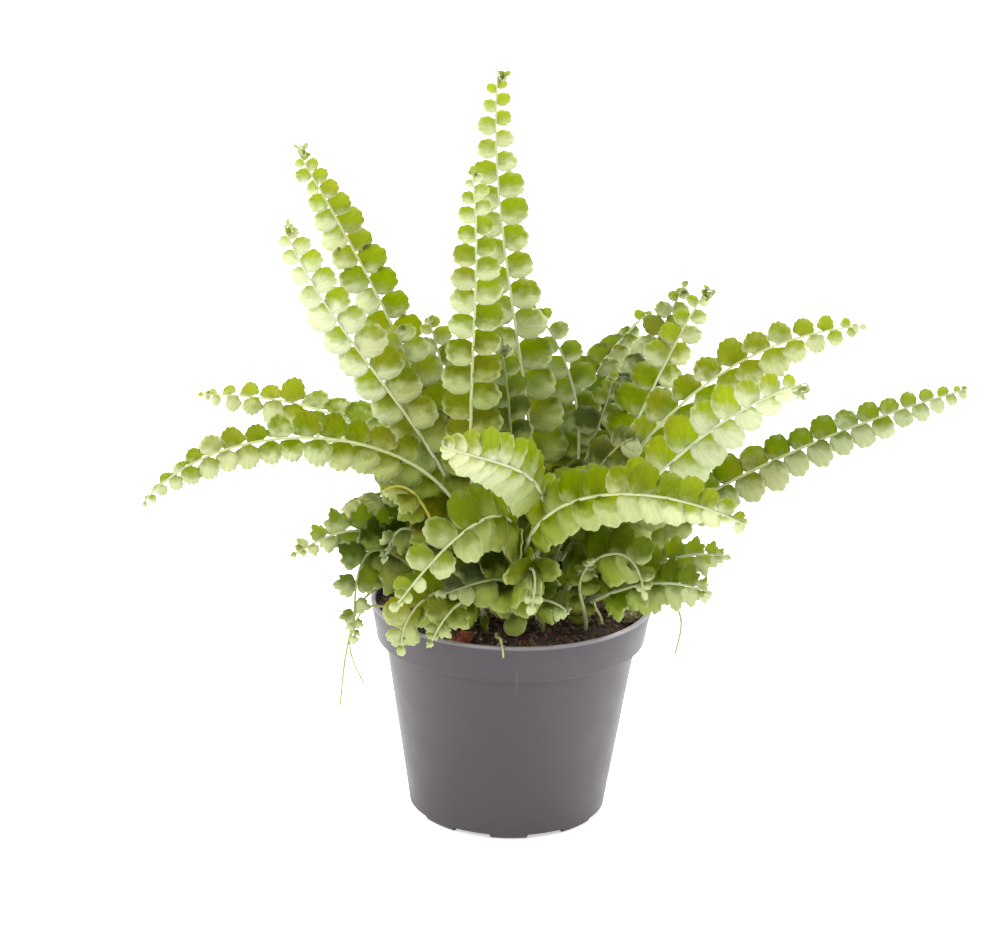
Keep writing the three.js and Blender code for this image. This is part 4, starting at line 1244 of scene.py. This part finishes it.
def pot_profile(lip):
    ring_inside = BASE_RADIUS - BASE_CORNER - FOOT_RING
    floor_top = FLOOR_RISE + WALL
    lip_radius = lip / 2
    return [
        # The boss under the floor, then the ring of the feet.
        (0, 0), (BOSS_RADIUS, 0), (BOSS_RADIUS + 1.5 * MM, FLOOR_RISE), (ring_inside - 1 * MM, FLOOR_RISE),
        (ring_inside, 0),
        *arc((BASE_RADIUS - BASE_CORNER, BASE_CORNER), BASE_CORNER, -90, -8, 8),
        # The body, and the step out to the collar.
        *[(body_radius(height) - SINK, height) for height in SINK_HEIGHTS],
        (BODY_TOP_RADIUS - 0.1 * MM, COLLAR_FOOT - STEP_CORNER / 2),
        *arc((BODY_TOP_RADIUS + STEP_CORNER / 2, COLLAR_FOOT - STEP_CORNER / 2), STEP_CORNER / 2, 180, 90, 3),
        *arc((COLLAR_FOOT_RADIUS - STEP_CORNER, COLLAR_FOOT + STEP_CORNER), STEP_CORNER, -90, 0, 4),
        (mix(COLLAR_FOOT_RADIUS, RIM_RADIUS, 0.5) - 0.2 * MM, COLLAR_FOOT + 8 * MM),
        # The rounded lip, then the inside down to the floor.
        *arc((RIM_RADIUS - lip_radius, POT_HEIGHT - lip_radius), lip_radius, 0, 180, 10),
        (RIM_RADIUS - lip - 0.1 * MM, POT_HEIGHT - 2.2 * MM),
        (COLLAR_FOOT_RADIUS - WALL, COLLAR_FOOT + WALL),
        (BODY_TOP_RADIUS - WALL, COLLAR_FOOT - 0.4 * MM),
        (BASE_RADIUS - WALL, floor_top + 1 * MM), (BASE_RADIUS - WALL - 1 * MM, floor_top), (0, floor_top),
    ]


class FERN_OT_pot(bpy.types.Operator):
    """Turn the pot from its profile, then cut the gaps between its feet and its drain holes"""

    bl_idname = "fern.pot"
    bl_label = "Pot"

    def execute(self, context):
        settings = context.scene.fern_pot
        piece = spun("moulded_pot", pot_profile(settings.lip), settings.steps)
        cutter = joined(self.foot_gaps() + self.drain_holes(), "cutter")
        apply_modifier(piece, "BOOLEAN", object=cutter, operation="DIFFERENCE", solver="EXACT")
        remove([cutter])
        merge_doubles(piece)
        smooth(piece, 32)
        finish_piece(piece, [moulded_polypropylene(list(settings.colour))], ["pot"])
        return {"FINISHED"}

    def foot_gaps(self):
        width = 2 * BASE_RADIUS * math.sin(math.radians(FOOT_PITCH - FOOT_ANGLE) / 2)
        length = FOOT_RING + 2 * BASE_CORNER
        inside = BASE_RADIUS - BASE_CORNER - FOOT_RING - 0.5 * MM
        gaps = []
        for i in range(FOOT_COUNT):
            deselect()
            bpy.ops.mesh.primitive_cube_add(size=1)
            gap = bpy.context.object
            apply_modifier(gap, "BEVEL", width=0.06, segments=3)
            turn = Matrix.Rotation(math.radians(FRONT_FOOT_ANGLE + (i + 0.5) * FOOT_PITCH), 4, "Z")
            shift = Matrix.Translation((inside + length / 2, 0, 0))
            gap.data.transform(turn @ shift @ Matrix.Diagonal((length, width, 2 * FLOOR_RISE, 1)))
            gaps.append(gap)
        return gaps

    def drain_holes(self):
        holes = []
        for i in range(0, FOOT_COUNT, 2):
            turn = math.radians(FRONT_FOOT_ANGLE + (i + 0.5) * FOOT_PITCH)
            x, y = DRAIN_RING_RADIUS * math.cos(turn), DRAIN_RING_RADIUS * math.sin(turn)
            deselect()
            bpy.ops.mesh.primitive_cylinder_add(
                vertices=32, radius=DRAIN_RADIUS, depth=4 * WALL, location=(x, y, FLOOR_RISE + WALL / 2))
            bpy.ops.object.transform_apply()
            holes.append(bpy.context.object)
        return holes


# ---- Soil and what lies on it ----

SOIL_RINGS = 46
SOIL_STEPS = 150
SOIL_SINK = 0.8 * MM
RELIEF_GRAINS = ((9 * MM, 0.5), (3.5 * MM, 0.35), (1.6 * MM, 0.3))
# What is added to a bit's number to draw its two leans, its size, its tint and its place.
LEAN_X, LEAN_Y, REACH, TINT, PATCH_TURN = 5000, 6000, 7000, 8000, 9000


def soil_height(x, y, relief):
    """Height of the soil: a low heap round the crown under crumbs of several sizes."""
    reach = min(1, math.hypot(x, y) / RIM_RADIUS)
    crumbs = sum(share * noise.noise(Vector((x / size, y / size, size))) for size, share in RELIEF_GRAINS)
    return SOIL_EDGE + SOIL_HEAP * MM * (1 - reach ** 2) - SOIL_SINK + relief * crumbs


def in_patch(seed, i, reach):
    """A drawn place in a round patch about the origin."""
    radius = reach * math.sqrt(drawn_share(seed, i))
    turn = math.pi * draw(seed, i + PATCH_TURN)
    return radius * math.cos(turn), radius * math.sin(turn)


def scattered(model, number, seed, place, size, tilt):
    """Copies of a small model, at the place of each number, with a drawn turn, size and tint."""
    pieces = []
    for i in range(number):
        turn = Matrix.Rotation(math.pi * draw(seed, i), 4, "Z")
        lean = Matrix.Rotation(tilt * draw(seed, i + LEAN_X), 4, "X") @ Matrix.Rotation(
            tilt * draw(seed, i + LEAN_Y), 4, "Y")
        reach = [mix(low, high, drawn_share(seed + k, i + REACH)) for k, (low, high) in enumerate(size)]
        matrix = Matrix.Translation(place(i)) @ turn @ lean @ Matrix.Diagonal((*reach, 1))
        pieces.append(placed_copy(model, matrix, tint=drawn_share(seed, i + TINT)))
    return pieces


def with_tint(piece):
    piece.data.attributes.new("tint", "FLOAT", "POINT")
    return piece


def crumb_model():
    """A crumb: a small ball of 20 faces pushed out of round."""
    deselect()
    bpy.ops.mesh.primitive_ico_sphere_add(subdivisions=1, radius=0.5)
    piece = named(bpy.context.object, "crumb")
    for i, vertex in enumerate(piece.data.vertices):
        vertex.co *= 1 + 0.3 * draw(77, i)
    return with_tint(piece)


def splinter_model():
    """A splinter of bark or a fibre: a bar that tapers to both ends and bends a little."""
    taper, bend = 0.3, 0.25
    deselect()
    bpy.ops.mesh.primitive_cylinder_add(vertices=4, radius=0.5, depth=1)
    piece = named(bpy.context.object, "splinter")
    bpy.ops.object.mode_set(mode="EDIT")
    bpy.ops.mesh.select_all(action="SELECT")
    bpy.ops.mesh.bisect(plane_co=(0, 0, 0), plane_no=(0, 0, 1))
    bpy.ops.object.mode_set(mode="OBJECT")
    for vertex in piece.data.vertices:
        near_end = abs(vertex.co.z) > 0.25
        vertex.co.x = vertex.co.x * (taper if near_end else 1) + (0 if near_end else bend)
        vertex.co.y *= taper if near_end else 1
    piece.data.transform(Matrix.Rotation(math.pi / 2, 4, "Y"))
    return with_tint(piece)


# The crumbs, chips and fibres on the soil. Each pile: its name, whether it is of splinters, its
# count, its seed, how high it lies, its least and greatest length, width and height, how far its
# bits lean, the middle and the radius of its patch, and its material's name, two colours and
# grain. Lengths are in millimetres.
EVERYWHERE = (0, 0, RIM_RADIUS / MM - 4.2)
PILES = (
    ("peat_crumbs", False, None, 21, 0.4, ((0.9, 3.4), (0.9, 2.8), (0.7, 2.2)), 1.5, EVERYWHERE,
     ("peat_crumb", "#2a1b12", "#6a4a32", 1)),
    ("bark_chips", False, 40, 22, 0.9, ((2, 4.5), (1.5, 3.4), (1, 2.4)), 0.8, EVERYWHERE,
     ("pine_bark", "#43251a", "#86502e", 1.5)),
    ("rusty_lump", False, 26, 25, 1.6, ((2, 5), (1.8, 4), (1.4, 3)), 1.5, (-21, -44, 5),
     ("rusty_bark", "#5c2a18", "#a8603c", 1.2)),
    ("rusty_lump_left", False, 22, 26, 1.8, ((2, 4.5), (1.8, 3.6), (1.4, 2.6)), 1.5, (-46, -8, 5.5),
     ("brown_bark", "#54301e", "#946044", 1.2)),
    ("peat_fibres", True, None, 23, 0.5, ((2.5, 7), (0.3, 0.7), (0.3, 0.6)), 0.45, EVERYWHERE,
     ("peat_fibre", "#432a1a", "#8e6e48", 2)),
    ("pale_grit", False, 80, 24, 0.7, ((0.7, 2.2), (0.6, 1.6), (0.5, 1.4)), 1.5, EVERYWHERE,
     ("pale_grit", "#a98a70", "#e0cfba", 1)),
)


class FERN_OT_soil(bpy.types.Operator):
    """Turn the soil from its profile, raise its crumbs, and strew bark, fibres, chips and crumbs on it"""

    bl_idname = "fern.soil"
    bl_label = "Soil"

    def execute(self, context):
        settings = context.scene.fern_soil
        edge = RIM_RADIUS - WALL - 1.1 * MM
        low = FLOOR_RISE + WALL + 0.3 * MM
        profile = [
            (0, low), (BASE_RADIUS - WALL - 1.5 * MM, low), (BODY_TOP_RADIUS - WALL - 0.9 * MM, COLLAR_FOOT),
            (COLLAR_FOOT_RADIUS - WALL - 1.2 * MM, COLLAR_FOOT + WALL + 0.8 * MM), (edge, SOIL_EDGE - 1 * MM),
            *[(edge * (1 - i / SOIL_RINGS), SOIL_EDGE) for i in range(1, SOIL_RINGS + 1)],
        ]
        lump = spun("potting_mix", profile, SOIL_STEPS)
        for vertex in lump.data.vertices:
            if vertex.co.z > SOIL_EDGE - 0.1 * MM:
                vertex.co.z = soil_height(vertex.co.x, vertex.co.y, settings.relief)
        smooth(lump, 60)
        peat = crumbly("moist_peat", "#1e120c", "#4a2e1e", 2 * MM)
        finish_piece(with_tint(lump), [peat], ["soil"])
        self.strew(settings)
        return {"FINISHED"}

    def strew(self, settings):
        crumb, splinter = crumb_model(), splinter_model()
        for name, splintered, number, seed, lift, size, tilt, patch, (stuff, dark, light, fineness) in PILES:
            number = number or (settings.fibres if splintered else settings.bits)
            middle_x, middle_y, reach = [value * MM for value in patch]

            def place(i):
                aside, onward = in_patch(seed, i, reach)
                x, y = middle_x + aside, middle_y + onward
                return Vector((x, y, soil_height(x, y, settings.relief) + lift * MM))

            size = [(low * MM, high * MM) for low, high in size]
            pieces = scattered(splinter if splintered else crumb, number, seed, place, size, tilt)
            finish_piece(joined(pieces, name), [crumbly(stuff, dark, light, fineness * MM)])
        remove([crumb, splinter])


MOSS_SEED = 31
MOSS_CENTRE = Vector((50 * MM, -12 * MM, SOIL_EDGE + 2 * MM))
MOSS_REACH = 8 * MM
MOSS_SPRIGS, MOSS_CRUMBS = 300, 70
MOSS_TILT = 1.5


class FERN_OT_moss(bpy.types.Operator):
    """Set tufts of moss and dry root at the right of the rim"""

    bl_idname = "fern.moss"
    bl_label = "Moss"

    def execute(self, context):
        crumb, splinter = crumb_model(), splinter_model()

        def place(i):
            x, y = in_patch(MOSS_SEED, i, MOSS_REACH)
            return MOSS_CENTRE + Vector((x * 0.6, y, 1.5 * MM * draw(MOSS_SEED, i + 50)))

        sprig = [(1.5 * MM, 3.6 * MM), (0.25 * MM, 0.4 * MM), (0.25 * MM, 0.4 * MM)]
        lump = [(1 * MM, 3 * MM)] * 3
        tufts = scattered(splinter, MOSS_SPRIGS, MOSS_SEED, place, sprig, MOSS_TILT)
        tufts += scattered(crumb, MOSS_CRUMBS, MOSS_SEED, place, lump, MOSS_TILT)
        moss = crumbly("dry_moss", "#75703c", "#c9bd98", 1 * MM)
        finish_piece(joined(tufts, "moss_tuft"), [moss])
        remove([crumb, splinter])
        return {"FINISHED"}


# ---- Stage ----

FRAME_WIDTH = 1000
FOCAL_PIXELS = 2976
SENSOR = 36
FLOOR_SIZE = 30
VIEW_TARGET = Vector((-6.2 * MM, 0, 151 * MM))
# Each softbox: its name, where it stands, its size and its power in watts.
SOFTBOXES = (
    ("key", (-0.8, -1.5, 1.3), 0.8, 16),
    ("right", (1.5, 0.2, 0.7), 1.0, 17),
    ("left", (-1.5, 0.4, 0.7), 1.0, 17),
    ("behind", (0.3, 1.2, 1.5), 0.8, 52),
)
AMBIENT = 0.76


class FERN_OT_stage(bpy.types.Operator):
    """Set up a white table, a white surround, soft lights and the camera"""

    bl_idname = "fern.stage"
    bl_label = "Stage"

    def execute(self, context):
        deselect()
        bpy.ops.mesh.primitive_plane_add(size=FLOOR_SIZE)
        floor = named(bpy.context.object, "table")
        floor.data.materials.append(lit_acrylic())
        self.surround(context.scene)
        for softbox in SOFTBOXES:
            self.softbox(*softbox)
        self.camera(context.scene, context.scene.fern_stage)
        context.scene.view_settings.view_transform = "Standard"
        return {"FINISHED"}

    def surround(self, scene):
        """A white surround that lights the plant less than it shows, as a backdrop a way off does."""
        world = bpy.data.worlds.new("white_surround")
        world.use_nodes = True
        tree = world.node_tree
        tree.nodes.clear()
        seen = add(tree, "ShaderNodeLightPath").outputs["Is Camera Ray"]
        strength = ramped(tree, seen, 0, 1, AMBIENT, 1)
        light = add(tree, "ShaderNodeBackground", {"Color": linear("#ffffff"), "Strength": strength})
        add(tree, "ShaderNodeOutputWorld", {0: light.outputs[0]})
        scene.world = world

    def softbox(self, name, place, size, power):
        light = bpy.data.lights.new(f"softbox_{name}", "AREA")
        light.shape = "DISK"
        light.size = size
        light.energy = power
        lamp = bpy.data.objects.new(light.name, light)
        lamp.location = place
        lamp.rotation_euler = (Vector(place) - VIEW_TARGET).to_track_quat("Z", "Y").to_euler()
        bpy.context.scene.collection.objects.link(lamp)

    def camera(self, scene, settings):
        lens = bpy.data.cameras.new("view")
        lens.sensor_fit = "HORIZONTAL"
        lens.sensor_width = SENSOR
        lens.lens = FOCAL_PIXELS * SENSOR / FRAME_WIDTH
        eye = bpy.data.objects.new("view", lens)
        back = Vector((0, -math.cos(settings.elevation), math.sin(settings.elevation)))
        eye.location = VIEW_TARGET + back * settings.distance
        look = Matrix.Rotation(math.pi / 2 - settings.elevation, 4, "X")
        eye.rotation_euler = (look @ Matrix.Rotation(settings.roll, 4, "Z")).to_euler()
        scene.collection.objects.link(eye)
        scene.camera = eye


# ---- The add-on ----

class FERN_PT_panel(bpy.types.Panel):
    """The fern's pieces, in the order in which they are made"""

    bl_idname = "FERN_PT_panel"
    bl_label = "Potted fern"
    bl_space_type = "VIEW_3D"
    bl_region_type = "UI"
    bl_category = "Fern"

    def draw(self, context):
        for operator in OPERATORS:
            self.layout.operator(operator.bl_idname)
        for name in SETTINGS:
            group = getattr(context.scene, name)
            for prop in group.bl_rna.properties:
                if prop.identifier not in ("rna_type", "name"):
                    self.layout.prop(group, prop.identifier)


SETTINGS = {
    "fern_leaf": FernLeafSettings,
    "fern_pot": FernPotSettings,
    "fern_soil": FernSoilSettings,
    "fern_stage": FernStageSettings,
}
OPERATORS = (FERN_OT_pot, FERN_OT_soil, FERN_OT_moss, FERN_OT_runners, FERN_OT_fronds, FERN_OT_stage)


def register():
    for item in (*SETTINGS.values(), *OPERATORS, FERN_PT_panel):
        bpy.utils.register_class(item)
    for name, group in SETTINGS.items():
        setattr(bpy.types.Scene, name, PointerProperty(type=group))


def unregister():
    for name in SETTINGS:
        delattr(bpy.types.Scene, name)
    for item in reversed((*SETTINGS.values(), *OPERATORS, FERN_PT_panel)):
        bpy.utils.unregister_class(item)


def main():
    register()
    bpy.ops.fern.pot()
    bpy.ops.fern.soil()
    bpy.ops.fern.moss()
    bpy.ops.fern.runners()
    bpy.ops.fern.fronds()
    bpy.ops.fern.stage()
    bpy.context.view_layer.update()


if __name__ == "__main__":
    main()
